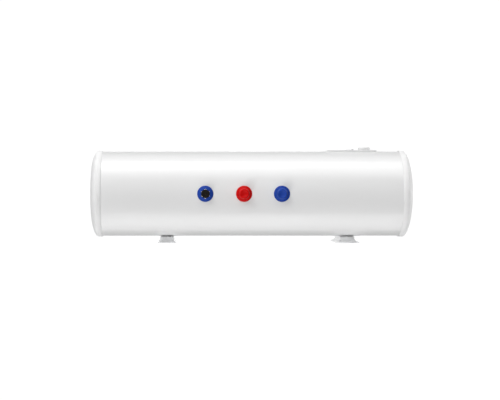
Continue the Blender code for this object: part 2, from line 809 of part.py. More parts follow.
def element_route(outer_face):
    """Out of the flange, down to the tank's lower third, along, round and back."""
    out = outer_face + ELEMENT_OUT
    high, low = ELEMENT_TOP, ELEMENT_LOW
    first = [(out, high), (0.315, high), (0.296, high - 0.003), (0.280, high - 0.016)]
    first += [(0.266, low + 0.014), (0.250, low + 0.003), (0.232, low)]
    near = [Vector((x, AXIS_Y - ELEMENT_SPREAD, z)) for x, z in first]
    far = [Vector((x, AXIS_Y + ELEMENT_SPREAD, z)) for x, z in reversed(first)]
    turn = []
    steps = 10
    for i in range(steps + 1):
        angle = math.pi * i / steps
        x = ELEMENT_FAR - ELEMENT_SPREAD * math.sin(angle)
        turn.append(Vector((x, AXIS_Y - ELEMENT_SPREAD * math.cos(angle), low)))
    return near + turn + far


def build_element(outer_face):
    tube("heating_element", element_route(outer_face), ELEMENT_RADIUS, "copper", resolution=2)
    pin = cylinder_mesh("element_terminal", 0.0016, 0.0, TERMINAL_LENGTH)
    out = outer_face + ELEMENT_OUT + GAP
    places = [at(out, AXIS_Y + side * ELEMENT_SPREAD, ELEMENT_TOP, "+X") for side in (1, -1)]
    repeated("element_terminal", pin, "zinc_steel", places)


def build_anode(outer_face):
    """A magnesium rod on a thin stud that screws through the flange."""
    rod_end = 0.333
    outline = [
        (0.0, outer_face + 0.008),
        (0.003, outer_face + 0.008),
        (0.003, rod_end),
        (ANODE_RADIUS, rod_end),
        (ANODE_RADIUS, 0.085),
        (0.0, 0.085),
    ]
    place = at(0, AXIS_Y, ANODE_Z, "+X")
    turned("magnesium_anode", outline, "magnesium", place, SMALL_ROUND, closed=False)


def build_thermowell(outer_face):
    """A brass pocket, shut inside the tank and open towards the service end."""
    lip_radius = WELL_RADIUS + 0.0016
    lip_face = outer_face + WELL_LIP
    outline = [
        (0.0, WELL_END + 0.003),
        (WELL_BORE, WELL_END + 0.004),
        (WELL_BORE, lip_face),
        (lip_radius, lip_face),
        (lip_radius, outer_face + GAP),
        (WELL_RADIUS, outer_face + GAP),
        (WELL_RADIUS, WELL_END + 0.002),
        (0.0, WELL_END),
    ]
    turned("thermowell", outline, "brass", at(0, AXIS_Y, WELL_Z, "+X"), SMALL_ROUND, closed=False)


# ---- controls ----
def front_place(x, z, distance):
    """A place on the front, its own +Z pointing out to the front."""
    return at(x, AXIS_Y - distance, z, "-Y")


def build_fascia():
    low_x, high_x = FASCIA_X
    half_x, centre_x = (high_x - low_x) / 2, (high_x + low_x) / 2
    bm = bmesh.new()
    bmesh.ops.create_cube(bm, size=1.0)
    depth = 0.012
    bmesh.ops.scale(bm, vec=(2 * half_x, depth, 2 * FASCIA_HALF_HEIGHT), verts=bm.verts)
    centre = (centre_x, AXIS_Y - FASCIA_FRONT + depth / 2, 0)
    bmesh.ops.translate(bm, vec=centre, verts=bm.verts)
    upright = [e for e in bm.edges if abs((e.verts[0].co - e.verts[1].co).y) > depth / 2]
    bmesh.ops.bevel(
        bm, geom=upright, offset=FASCIA_CORNER, segments=5, profile=0.5, affect="EDGES"
    )
    front_y = AXIS_Y - FASCIA_FRONT
    rim = [e for e in bm.edges if all(abs(v.co.y - front_y) < MERGE_DISTANCE for v in e.verts)]
    bmesh.ops.bevel(bm, geom=rim, offset=0.0012, segments=2, profile=0.5, affect="EDGES")
    fascia = piece("control_fascia", mesh_from(bm, "control_fascia"), "cap_plastic")
    casing_outline = solid_outline(CASING_RADIUS + GAP, -0.1, 0.1)
    casing_space = turned_cutter("fascia_casing", casing_outline, at(centre_x, AXIS_Y, 0, "+X"))
    bool_with(fascia, casing_space)
    box_cut(
        fascia,
        (ROCKER_X - 0.0113, AXIS_Y - THROUGH_SHEET[1], -0.0078),
        (ROCKER_X + 0.0113, AXIS_Y - THROUGH_SHEET[0], 0.0078),
    )
    bore(fascia, 0.004, *THROUGH_SHEET, front_place(KNOB_X, 0, 0))
    bore(fascia, LAMP_RADIUS + GAP, *THROUGH_SHEET, front_place(ROCKER_X, LAMP_Z, 0))


def build_knob():
    outline = [
        (0.0, KNOB_FRONT),
        (KNOB_RADIUS - 0.0040, KNOB_FRONT),
        (KNOB_RADIUS - 0.0018, KNOB_FRONT - 0.0004),
        (KNOB_RADIUS - 0.0004, KNOB_FRONT - 0.0018),
        (KNOB_RADIUS, KNOB_FRONT - 0.0036),
        (KNOB_RADIUS + 0.0003, FASCIA_FRONT + 0.0004),
        (0.0033, FASCIA_FRONT + 0.0004),
        (0.0033, FASCIA_FRONT + 0.0060),
        (0.0, FASCIA_FRONT + 0.0060),
    ]
    place = front_place(KNOB_X, 0, 0)
    knob = turned("control_knob", outline, "knob_plastic", place, 36, closed=False)
    mark_front = AXIS_Y - KNOB_FRONT
    mark_half = 0.0008
    mark_low = (KNOB_X - mark_half, mark_front - 0.01, 0.006)
    box_cut(knob, mark_low, (KNOB_X + mark_half, mark_front + 0.0007, 0.0145))
    spindle_back = 0.1245
    cylinder(
        "thermostat_spindle", 0.003, spindle_back, FASCIA_FRONT + 0.0057, "inner_plastic", place
    )


def rocker_outline():
    """The paddle seen along its pivot, level: u along the casing, v out to the front."""
    half = ROCKER_HALF
    return [
        (-half, 0.0026),
        (0.0, 0.0016),
        (half, 0.0026),
        (half, -0.0010),
        (half - 0.0035, -0.0042),
        (-half + 0.0035, -0.0042),
        (-half, -0.0010),
    ]


def build_rocker():
    """The rocker rests with its right end out; it turns about an upright pin in its housing."""
    mesh = slab_mesh("rocker_switch", rocker_outline(), 0.0052)
    pivot = Matrix.Translation((ROCKER_X, AXIS_Y - ROCKER_PIVOT, 0.0))
    # Own X to +X, own Y to the front (-Y), own Z to -Z; then tipped so that the +X end stands out.
    tip = Matrix.Rotation(math.radians(-ROCKER_TILT), 4, "Z")
    place = pivot @ tip @ Matrix.Rotation(math.radians(180), 4, "X")
    rocker = piece("rocker_switch", mesh, "black_plastic", place)
    pin = cylinder_mesh("rocker_pin", 0.0012, -0.0066, 0.0066)
    bool_with(rocker, cutter("rocker_pin", pin, place), "UNION")

    front = AXIS_Y - FASCIA_FRONT
    housing = box(
        "rocker_housing",
        (ROCKER_X - 0.0110, front + 0.0002, -0.0075),
        (ROCKER_X + 0.0110, front + 0.0140, 0.0075),
        "black_plastic",
    )
    bezel_mesh = box_mesh(
        "rocker_bezel",
        (ROCKER_X - 0.0130, front - 0.0012, -0.0092),
        (ROCKER_X + 0.0130, front - GAP, 0.0092),
    )
    neck_mesh = box_mesh(
        "rocker_neck",
        (ROCKER_X - 0.0110, front - 0.0008, -0.0075),
        (ROCKER_X + 0.0110, front + 0.0010, 0.0075),
    )
    bool_with(housing, cutter("rocker_neck", neck_mesh), "UNION")
    bool_with(housing, cutter("rocker_bezel", bezel_mesh), "UNION")
    box_cut(
        housing,
        (ROCKER_X - 0.0101, front - 0.01, -0.0056),
        (ROCKER_X + 0.0101, front + 0.0095, 0.0056),
    )
    bore(housing, 0.0015, -0.02, 0.02, at(ROCKER_X, AXIS_Y - ROCKER_PIVOT, 0))


def build_indicator():
    """A lamp with a small domed lens, pushed through the fascia."""
    outline = [
        (0.0, FASCIA_FRONT + 0.0008),
        (0.0018, FASCIA_FRONT + 0.0006),
        (LAMP_RADIUS, FASCIA_FRONT),
        (LAMP_RADIUS, 0.1210),
        (0.0, 0.1210),
    ]
    place = front_place(ROCKER_X, LAMP_Z, 0)
    turned("indicator_lamp", outline, "lens", place, SMALL_ROUND, closed=False)


def build_control_bracket():
    """A folded sheet behind the window: a front plate for the thermostat and a leg to its right."""
    plate_y = AXIS_Y - PANEL_FRONT
    leg_x = PANEL_X[1] - PANEL_SHEET
    outline = [
        (PANEL_X[0], plate_y),
        (PANEL_X[1], plate_y),
        (PANEL_X[1], AXIS_Y - LEG_BACK),
        (leg_x, AXIS_Y - LEG_BACK),
        (leg_x, plate_y + PANEL_SHEET),
        (PANEL_X[0], plate_y + PANEL_SHEET),
    ]
    mesh = slab_mesh("control_bracket", outline, PANEL_HALF_HEIGHT)
    bracket = piece("control_bracket", mesh, "zinc_steel", smooth=False)
    bore(bracket, 0.0036, *THROUGH_SHEET, front_place(KNOB_X, 0, 0))


def build_thermostat():
    wide, deep, tall = THERMOSTAT_SIZE
    front = PANEL_FRONT - PANEL_SHEET - GAP
    body = box(
        "thermostat_body",
        (KNOB_X - wide / 2, AXIS_Y - front, -tall / 2),
        (KNOB_X + wide / 2, AXIS_Y - front + deep, tall / 2),
        "inner_plastic",
        bevel=0.0015,
    )
    bore(body, 0.0034, front - 0.0025, front + 0.01, front_place(KNOB_X, 0, 0))


def build_cutout():
    """The safety cut-out on the bracket's leg, with a reset button that faces the service cap."""
    wide, deep, tall = CUTOUT_SIZE
    low_x = PANEL_X[1] + GAP
    centre_y = AXIS_Y - CUTOUT_OUT
    body = box(
        "safety_cutout_body",
        (low_x, centre_y - deep / 2, -tall / 2),
        (low_x + wide, centre_y + deep / 2, tall / 2),
        "black_plastic",
        bevel=0.0012,
    )
    place = at(0, centre_y, 0, "+X")
    face = low_x + wide
    bore(body, BUTTON_RADIUS + 0.0004, face - 0.009, face + 0.01, place)
    outline = [
        (0.0, face + 0.0028),
        (0.0018, face + 0.0026),
        (BUTTON_RADIUS, face + 0.0018),
        (BUTTON_RADIUS, face - 0.0055),
        (0.0, face - 0.0055),
    ]
    turned("reset_button", outline, "red_plastic", place, SMALL_ROUND, closed=False)


def build_terminal_block():
    """A three-pole block under the cut-out, with a clamp hole at each pole."""
    wide, deep, tall = BLOCK_SIZE
    low_x = PANEL_X[1] + GAP
    centre_y = AXIS_Y - BLOCK_OUT
    block = box(
        "terminal_block",
        (low_x, centre_y - deep / 2, BLOCK_LOW),
        (low_x + wide, centre_y + deep / 2, BLOCK_LOW + tall),
        "inner_plastic",
        bevel=0.001,
    )
    face = low_x + wide
    pole_z = BLOCK_LOW + tall / 2
    poles = [at(0, centre_y + pole * POLE_PITCH, pole_z, "+X") for pole in (-1, 0, 1)]
    for place in poles:
        bore(block, 0.0032, face - 0.006, face + 0.01, place)


def build_grommet():
    """The cord's rubber grommet in the casing's top, near the service end."""
    sheet_out = CASING_RADIUS
    sheet_in = CASING_RADIUS - CASING_SHEET
    outline = [
        (0.0050, sheet_out + 0.0030),
        (0.0092, sheet_out + 0.0026),
        (0.0104, sheet_out + 0.0008),
        (0.0104, sheet_out + GAP),
        (GROMMET_HOLE - GAP, sheet_out + GAP),
        (GROMMET_HOLE - GAP, sheet_in - 0.0008),
        (0.0098, sheet_in - 0.0008),
        (0.0092, sheet_in - 0.0030),
        (0.0050, sheet_in - 0.0030),
    ]
    turned("cord_grommet", outline, "rubber", at(GROMMET_X, AXIS_Y, 0), FITTING_ROUND)


def build_wires(outer_face):
    """Leads between the terminal block, the cut-out, the thermostat, the switch and the element."""
    block_x = PANEL_X[1] + GAP + BLOCK_SIZE[0] / 2
    block_low = BLOCK_LOW - GAP
    block_y = AXIS_Y - BLOCK_OUT
    body_back = AXIS_Y - (PANEL_FRONT - PANEL_SHEET - GAP) + THERMOSTAT_SIZE[1] + GAP
    pin_x = outer_face + ELEMENT_OUT + GAP + TERMINAL_LENGTH + GAP

    earth = [
        (block_x, block_y + POLE_PITCH, block_low),
        (block_x, block_y + 0.014, block_low - 0.010),
        (block_x - 0.008, block_y + 0.040, block_low - 0.016),
        (0.385, AXIS_Y - 0.020, -0.045),
        (0.372, AXIS_Y - 0.002, -0.030),
        (outer_face + GAP + 0.0054, AXIS_Y, -0.0215),
    ]
    tube("earth_wire", smooth_route(earth), WIRE_RADIUS, "earth_insulation")

    neutral = [
        (block_x, block_y, block_low),
        (block_x + 0.001, block_y + 0.001, block_low - 0.014),
        (block_x, AXIS_Y - 0.050, block_low - 0.022),
        (0.398, AXIS_Y + 0.000, -0.052),
        (0.392, AXIS_Y + ELEMENT_SPREAD, -0.030),
        (0.384, AXIS_Y + ELEMENT_SPREAD, ELEMENT_TOP - 0.003),
        (pin_x, AXIS_Y + ELEMENT_SPREAD, ELEMENT_TOP),
    ]
    tube("neutral_wire", smooth_route(neutral), WIRE_RADIUS, "neutral_insulation")

    element = [
        (KNOB_X + 0.012, body_back, -0.008),
        (KNOB_X + 0.013, body_back + 0.014, -0.009),
        (0.384, AXIS_Y - 0.040, -0.011),
        (0.386, AXIS_Y - ELEMENT_SPREAD - 0.006, ELEMENT_TOP),
        (pin_x, AXIS_Y - ELEMENT_SPREAD, ELEMENT_TOP),
    ]
    tube("element_wire", smooth_route(element), WIRE_RADIUS, "live_insulation")

    switch = [
        (ROCKER_X + 0.004, AXIS_Y - 0.1229, 0.0),
        (ROCKER_X + 0.006, AXIS_Y - 0.1200, 0.0),
        (ROCKER_X + 0.012, AXIS_Y - 0.1180, 0.0),
        (ROCKER_X + 0.0165, AXIS_Y - 0.1120, 0.0),
        (ROCKER_X + 0.0200, AXIS_Y - 0.1020, 0.0),
        (KNOB_X - 0.0240, AXIS_Y - 0.0900, 0.0),
        (KNOB_X - 0.0180, AXIS_Y - 0.0830, 0.0),
        (KNOB_X - 0.0110, body_back + 0.0006, 0.0),
    ]
    tube("switch_wire", smooth_route(switch), WIRE_RADIUS, "live_insulation")


def build_sensor(name, knots, side):
    """A bulb in the thermowell, brazed to the capillary that leaves it."""
    sensor = tube(name, smooth_route(knots), CAPILLARY_RADIUS, "copper")
    place = at(0, AXIS_Y + side * BULB_SPREAD, WELL_Z, "+X")
    bulb = cylinder_mesh(name + "_bulb", BULB_RADIUS, BULB_START, BULB_END)
    bool_with(sensor, cutter(name + "_bulb", bulb, place), "UNION")


def build_sensors(outer_face):
    """The capillaries run from the thermowell's mouth to their switches."""
    body_back = AXIS_Y - (PANEL_FRONT - PANEL_SHEET - GAP) + THERMOSTAT_SIZE[1] + GAP
    start = BULB_END - 0.003
    thermostat = [
        (start, AXIS_Y - BULB_SPREAD, WELL_Z),
        (0.300, AXIS_Y - BULB_SPREAD, WELL_Z),
        (outer_face + 0.006, AXIS_Y - BULB_SPREAD, WELL_Z),
        (0.366, AXIS_Y - 0.008, 0.004),
        (0.370, AXIS_Y - 0.030, 0.012),
        (KNOB_X + 0.004, AXIS_Y - 0.062, 0.010),
        (KNOB_X, body_back, 0.008),
    ]
    build_sensor("thermostat_sensor", thermostat, -1)
    cutout = [
        (start, AXIS_Y + BULB_SPREAD, WELL_Z),
        (0.300, AXIS_Y + BULB_SPREAD, WELL_Z),
        (outer_face + 0.006, AXIS_Y + BULB_SPREAD, WELL_Z),
        (0.370, AXIS_Y + 0.006, 0.008),
        (0.388, AXIS_Y - 0.020, 0.018),
        (0.404, AXIS_Y - 0.055, 0.010),
        (0.406, AXIS_Y - CUTOUT_OUT + CUTOUT_SIZE[1] / 2 + GAP, 0.004),
    ]
    build_sensor("cutout_sensor", cutout, 1)


def build_all():
    build_casing()
    build_end_cap("left_end_cap", -1)
    build_end_cap("right_end_cap", 1)
    build_cap_screws("left_cap_screw", -1)
    build_cap_screws("right_cap_screw", 1)
    build_tank()
    build_foam()
    for i, side in enumerate(("left", "right")):
        x, flare = BRACKET_X[i], BRACKET_FLARE[i]
        build_saddle("tank_saddle_" + side, x)
        build_bracket("wall_bracket_" + side, x, flare, BRACKET_FLARE_DEPTH[i])
        build_hook_plate("hook_plate_" + side, x, flare)
        build_bracket_bolts("bracket_bolt_" + side, x)
    build_rosette("drain_rosette", DRAIN_X, "blue_plastic", 0.0150, 0.0080)
    build_rosette("hot_rosette", HOT_X, "red_plastic", 0.0198, 0.0046)
    build_rosette("cold_rosette", COLD_X, "blue_plastic", 0.0198, 0.0046)
    build_stub("hot_outlet_stub", HOT_X)
    build_stub("cold_inlet_stub", COLD_X)
    build_cover_cap("hot_cover_cap", HOT_X, "red_plastic")
    build_cover_cap("cold_cover_cap", COLD_X, "blue_plastic")
    build_drain()
    build_dip_tube()
    build_diffuser()
    outer_face = build_flange_stack()
    build_element(outer_face)
    build_anode(outer_face)
    build_thermowell(outer_face)
    build_fascia()
    build_knob()
    build_rocker()
    build_indicator()
    build_control_bracket()
    build_thermostat()
    build_cutout()
    build_terminal_block()
    build_grommet()
    build_sensors(outer_face)
    build_wires(outer_face)


clear_scene()
PARTS = new_collection(OBJECT_NAME)
CUTTERS = new_collection("cutters")
MATERIALS = {name: make_material(name, *look) for name, look in FINISHES.items()}
build_all()
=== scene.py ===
"""The looks of a slim wall-hung storage water heater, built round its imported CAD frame.

Metres, in the frame's own axes: +Z up, -Y the front with the controls, +Y the wall, +X to the right.
"""

import json
import math

import bmesh
import bpy
from mathutils import Matrix, Vector


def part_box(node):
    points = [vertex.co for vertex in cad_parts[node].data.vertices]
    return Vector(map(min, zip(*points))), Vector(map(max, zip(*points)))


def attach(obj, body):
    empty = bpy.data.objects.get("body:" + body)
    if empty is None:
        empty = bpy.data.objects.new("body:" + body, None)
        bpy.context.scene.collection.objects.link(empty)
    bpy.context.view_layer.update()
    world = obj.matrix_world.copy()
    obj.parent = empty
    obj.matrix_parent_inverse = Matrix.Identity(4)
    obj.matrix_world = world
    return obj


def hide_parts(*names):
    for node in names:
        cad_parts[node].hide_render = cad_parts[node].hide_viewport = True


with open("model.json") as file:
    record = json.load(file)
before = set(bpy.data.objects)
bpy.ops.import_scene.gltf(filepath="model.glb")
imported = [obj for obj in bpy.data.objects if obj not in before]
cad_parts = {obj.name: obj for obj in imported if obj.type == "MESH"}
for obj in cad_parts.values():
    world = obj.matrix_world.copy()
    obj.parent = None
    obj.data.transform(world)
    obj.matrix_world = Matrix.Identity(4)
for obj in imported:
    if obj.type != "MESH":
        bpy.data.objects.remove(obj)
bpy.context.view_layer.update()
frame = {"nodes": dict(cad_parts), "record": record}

# ---- what the frame says ----
RECORD = frame["record"]
BODY_OF = {node: body for body, nodes in RECORD["behaviour"]["bodies"].items() for node in nodes}
SLOT_OF = {entry["node"]: entry["material_slot"] for entry in RECORD["subparts"]}


def middle(node):
    low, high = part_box(node)
    return (low + high) / 2


CASING_LOW, CASING_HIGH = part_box("outer_casing")
RADIUS = (CASING_HIGH.z - CASING_LOW.z) / 2
AXIS_Y = (CASING_HIGH.y + CASING_LOW.y) / 2
CASING_HALF = CASING_HIGH.x
FITTING_X = {name: middle(name + "_rosette").x for name in ("drain", "hot", "cold")}

# ---- sizes that the CAD shares but doesn't name ----
SHEET = 0.0008
GAP = 0.0003
CAP_DOME = 0.0203
CAP_DOME_POWER = 5.3
CAP_DOME_ROOT = 0.8
CAP_WALL = 0.002
STUB_RADIUS = 0.0105
STUB_BORE = 0.0078
HEXAGON_FLATS = 0.0260
ROSETTE_BORE = 0.0111
ROSETTE_RADIUS = 0.0250
BRACKET_SHEET = 0.0016
BRACKET_HALF_WIDTH = 0.0226
BRACKET_HALF_LENGTH = 0.084
BRACKET_TAPER = 0.0014
WINDOW_Z = (-0.022, 0.026)
ROCKER_HALF = 0.0096
ROCKER_TILT = math.radians(7.0)
ROCKER_PIVOT = 0.1373  # forward of the tank's axis

# ---- heights on the fittings, measured down from the casing's lowest line ----
STUB_TOP = -0.026
STUB_END = 0.0204
HEXAGON_TOP = 0.0086
HEXAGON_END = 0.021
ROSETTE_ROOT = -0.0060
THREAD_RUN = (0.0062, 0.0196)

# ---- sizes that only the visual has ----
AROUND = 192  # sides of the casing and its caps
FITTING_SIDES = 96
SMALL_SIDES = 48
DRAWN_FROM = 0.450
DRAWN_BY = 0.0016
CAP_LIP = RADIUS - 0.003
CAP_SCREW_HOLE = 0.0018
FITTING_HOLE = 0.0115
CORD_HOLE = 0.0078
BOLT_HOLE = 0.0043
THREAD_PITCH = 0.001814
THREAD_DEPTH = 0.0011
MARK_SINK = 0.0004  # how deep the rocker's marks are let in
FLUTES = 36
FLUTE_DEPTH = 0.00025
FLUTE_FROM = 0.019  # the radius where the knob's side starts
DIAL_MARKS = 11
DIAL_SWEEP = math.radians(270)
DIAL_RADIUS = 0.0222

# ---- light, floor and camera ----
STUDIO_RADIUS = 12.0
WORLD_SEEN = 1.05
WORLD_CAST = 0.04
FLOOR_RADIUS = 3.4
FLOOR_Z = -4.7
CAMERA_PLACE = (-0.207, AXIS_Y - 0.020, -4.10)
CAMERA_LENS = 92.8
CAMERA_SHIFT = (0.13, -0.0254)
# name, angle from straight below towards the front, tilt to the left,
# spans along the heater and across it, strength; angles and spans in degrees
SOFTBOXES = (
    ("front_low_left", 45, 28, (12, 22), 2.5),
    ("front_low", 48, 0, (32, 14), 0.5),
    ("front_middle", 65, -4, (32, 22), 2.0),
    ("front_left", 82, 18, (34, 24), 3.5),
    ("front", 85, -8, (34, 22), 2.5),
    ("front_rim", 105, 0, (30, 22), 0.5),
    ("back_low_left", -45, 28, (12, 22), 3.0),
    ("back_low", -40, 0, (32, 14), 0.5),
    ("back_middle", -65, -4, (32, 22), 2.0),
    ("back", -85, 0, (34, 22), 2.0),
    ("back_rim", -105, 0, (30, 22), 1.0),
    ("right_end", 180, -68, (32, 24), 7.0),
    ("left_end", 180, 78, (44, 24), 2.5),
    ("overhead", 180, 0, (50, 50), 3.0),
)

TINY = 1e-7
SMOOTH_ANGLE = math.radians(32)

# Turns a shape's own +Z onto the named direction.
FACING = {
    "+X": Matrix.Rotation(math.radians(90), 4, "Y"),
    "-X": Matrix.Rotation(math.radians(-90), 4, "Y"),
    "-Y": Matrix.Rotation(math.radians(90), 4, "X"),
    "+Y": Matrix.Rotation(math.radians(-90), 4, "X"),
    "+Z": Matrix.Identity(4),
    "-Z": Matrix.Rotation(math.radians(180), 4, "X"),
}


def at(x, y, z, facing="+Z"):
    return Matrix.Translation((x, y, z)) @ FACING[facing]


# ---- shader helpers ----
class Finish:
    """A node material that is filled in step by step."""

    def __init__(self, name, colour, roughness, metallic=0.0, specular=0.5):
        self.material = bpy.data.materials.new(name)
        self.material.use_nodes = True
        self.tree = self.material.node_tree
        self.shader = self.tree.nodes["Principled BSDF"]
        self.colour = colour
        self.shader.inputs["Base Color"].default_value = (*colour, 1.0)
        self.shader.inputs["Roughness"].default_value = roughness
        self.shader.inputs["Metallic"].default_value = metallic
        self.shader.inputs["Specular IOR Level"].default_value = specular
        self.material.diffuse_color = (*colour, 1.0)
        self.place = self.tree.nodes.new("ShaderNodeTexCoord").outputs["Object"]
        self.height = None

    def node(self, kind, **settings):
        made = self.tree.nodes.new(kind)
        for key, value in settings.items():
            setattr(made, key, value)
        return made

    def link(self, source, target):
        self.tree.links.new(source, target)

    def stretched(self, scale):
        """The object coordinates, scaled differently along each axis."""
        mapping = self.node("ShaderNodeMapping")
        mapping.inputs["Scale"].default_value = scale
        self.link(self.place, mapping.inputs["Vector"])
        return mapping.outputs["Vector"]

    def noise(self, scale, detail=3.0, place=None):
        texture = self.node("ShaderNodeTexNoise")
        texture.inputs["Scale"].default_value = scale
        texture.inputs["Detail"].default_value = detail
        self.link(place or self.place, texture.inputs["Vector"])
        return texture.outputs["Fac"]

    def cells(self, scale, output="Distance"):
        texture = self.node("ShaderNodeTexVoronoi")
        texture.inputs["Scale"].default_value = scale
        self.link(self.place, texture.inputs["Vector"])
        return texture.outputs[output]

    def ramp(self, factor, low, high, start=0.0, end=1.0):
        """Maps a factor between two values, clamped."""
        spread = self.node("ShaderNodeMapRange", clamp=True)
        spread.inputs["From Min"].default_value = low
        spread.inputs["From Max"].default_value = high
        spread.inputs["To Min"].default_value = start
        spread.inputs["To Max"].default_value = end
        self.link(factor, spread.inputs["Value"])
        return spread.outputs["Result"]

    def product(self, first, second):
        times = self.node("ShaderNodeMath", operation="MULTIPLY")
        self.link(first, times.inputs[0])
        self.link(second, times.inputs[1])
        return times.outputs["Value"]

    def tint(self, factor, colour):
        """Blends another colour over the base colour where the factor is high."""
        mix = self.node("ShaderNodeMix", data_type="RGBA")
        socket = self.shader.inputs["Base Color"]
        if socket.is_linked:
            self.link(socket.links[0].from_socket, mix.inputs["A"])
        else:
            mix.inputs["A"].default_value = (*self.colour, 1.0)
        mix.inputs["B"].default_value = (*colour, 1.0)
        self.link(factor, mix.inputs["Factor"])
        self.link(mix.outputs["Result"], socket)

    def roughen(self, factor, smooth, rough):
        """Varies the roughness between two values."""
        self.link(self.ramp(factor, 0.3, 0.7, smooth, rough), self.shader.inputs["Roughness"])

    def bump(self, factor, depth, strength=1.0):
        """Adds a layer of relief, its depth in metres."""
        relief = self.node("ShaderNodeBump")
        relief.inputs["Strength"].default_value = strength
        relief.inputs["Distance"].default_value = depth
        self.link(factor, relief.inputs["Height"])
        if self.height is not None:
            self.link(self.height, relief.inputs["Normal"])
        self.height = relief.outputs["Normal"]
        self.link(self.height, self.shader.inputs["Normal"])

    def coat(self, weight, roughness):
        self.shader.inputs["Coat Weight"].default_value = weight
        self.shader.inputs["Coat Roughness"].default_value = roughness

    def edges(self, low=0.52, high=0.62):
        """High on convex edges, where handling wears a surface."""
        pointiness = self.node("ShaderNodeNewGeometry").outputs["Pointiness"]
        return self.ramp(pointiness, low, high)


def lighter(colour, amount):
    return tuple(c + (1.0 - c) * amount for c in colour)


def darker(colour, amount):
    return tuple(c * (1.0 - amount) for c in colour)


# ---- materials ----
def enamel(name, colour):
    """Powder-coated sheet: fine orange peel, a barely uneven sheet and faint, broad shading."""
    finish = Finish(name, colour, 0.3, specular=0.5)
    finish.roughen(finish.noise(3.0, 1.0), 0.29, 0.33)
    finish.tint(finish.ramp(finish.noise(3.0, 2.0), 0.3, 0.8, 0.0, 0.3), darker(colour, 0.03))
    finish.bump(finish.noise(4.0, 0.0), 0.0001, 0.1)
    finish.bump(finish.noise(650.0, 2.0), 0.00002, 0.5)
    finish.coat(0.35, 0.12)
    return finish.material


def moulded(name, colour, smooth=0.4, rough=0.5, specular=0.4, grain=1400.0, wear=0.12):
    """Injection-moulded plastic: spark-eroded grain, faint flow marks and rubbed edges."""
    finish = Finish(name, colour, smooth, specular=specular)
    finish.roughen(finish.noise(60.0, 4.0), smooth, rough)
    flow = finish.ramp(finish.noise(28.0, 3.0), 0.45, 0.8, 0.0, 0.4)
    finish.tint(flow, darker(colour, 0.12))
    finish.tint(finish.product(finish.edges(), finish.noise(300.0)), lighter(colour, wear))
    finish.bump(finish.noise(grain, 2.0), 0.00002, 0.5)
    return finish.material


def rubber(name, colour):
    finish = Finish(name, colour, 0.75, specular=0.3)
    finish.roughen(finish.noise(200.0, 4.0), 0.65, 0.85)
    bloom = finish.ramp(finish.noise(90.0, 5.0), 0.55, 0.75, 0.0, 0.35)
    finish.tint(bloom, lighter(colour, 0.12))
    finish.bump(finish.noise(1800.0, 2.0), 0.00003, 0.6)
    return finish.material


def plated(name, colour, smooth, rough, stretch=(1.0, 1.0, 1.0), spangle=0.0):
    """Bare or plated metal: fine drawing lines, patchy dulling, and zinc spangle if asked for."""
    finish = Finish(name, colour, smooth, metallic=1.0)
    lines = finish.noise(900.0, 3.0, finish.stretched(stretch))
    finish.roughen(finish.noise(70.0, 5.0), smooth, rough)
    finish.tint(finish.ramp(finish.noise(35.0, 6.0), 0.5, 0.75, 0.0, 0.5), darker(colour, 0.3))
    if spangle:
        grains = finish.cells(160.0, output="Color")
        finish.tint(finish.ramp(grains, 0.3, 0.9, 0.0, spangle), lighter(colour, 0.35))
    finish.bump(lines, 0.00002, 0.35)
    return finish.material


def tinned(name, colour, heat):
    """Drawn copper or brass, toned by heat and handling."""
    finish = Finish(name, colour, 0.3, metallic=1.0)
    finish.roughen(finish.noise(120.0, 5.0), 0.25, 0.5)
    finish.tint(finish.ramp(finish.noise(45.0, 5.0), 0.45, 0.75, 0.0, 0.7), heat)
    finish.bump(finish.noise(800.0, 3.0, finish.stretched((0.1, 1.0, 1.0))), 0.00002, 0.4)
    return finish.material


def glazed_tank(name, colour):
    """Vitreous enamel on steel: dark blue-grey with fused specks and weld ripples."""
    finish = Finish(name, colour, 0.25)
    finish.tint(finish.ramp(finish.cells(420.0), 0.0, 0.22, 0.6, 0.0), lighter(colour, 0.45))
    finish.roughen(finish.noise(40.0, 4.0), 0.18, 0.4)
    finish.bump(finish.noise(240.0, 3.0), 0.0001, 0.4)
    finish.coat(0.5, 0.1)
    return finish.material


def foam_finish(name, colour):
    """Rigid polyurethane foam: open cells, a darker skin and blotches."""
    finish = Finish(name, colour, 0.9, specular=0.2)
    finish.tint(finish.ramp(finish.noise(30.0, 6.0), 0.4, 0.75, 0.0, 0.8), darker(colour, 0.35))
    finish.tint(finish.ramp(finish.cells(900.0), 0.0, 0.4, 0.5, 0.0), darker(colour, 0.5))
    finish.roughen(finish.noise(400.0, 3.0), 0.8, 0.98)
    finish.bump(finish.cells(900.0), 0.0004, 0.7)
    return finish.material


def cast_rod(name, colour):
    """Extruded magnesium with a dull, pitted skin."""
    finish = Finish(name, colour, 0.5, metallic=0.85)
    finish.tint(finish.ramp(finish.noise(80.0, 6.0), 0.45, 0.7, 0.0, 0.8), darker(colour, 0.4))
    finish.roughen(finish.noise(150.0, 4.0), 0.45, 0.75)
    finish.bump(finish.cells(500.0), 0.0001, 0.5)
    return finish.material


def lens_finish(name, colour):
    """Coloured translucent plastic with fine ribs behind its face."""
    finish = Finish(name, colour, 0.12)
    finish.shader.inputs["Transmission Weight"].default_value = 0.35
    finish.shader.inputs["Subsurface Weight"].default_value = 0.2
    finish.shader.inputs["Subsurface Scale"].default_value = 0.002
    finish.tint(finish.ramp(finish.noise(500.0, 3.0), 0.4, 0.7, 0.0, 0.3), darker(colour, 0.3))
    finish.roughen(finish.noise(300.0), 0.08, 0.2)
    finish.bump(finish.cells(900.0), 0.00005, 0.3)
    return finish.material


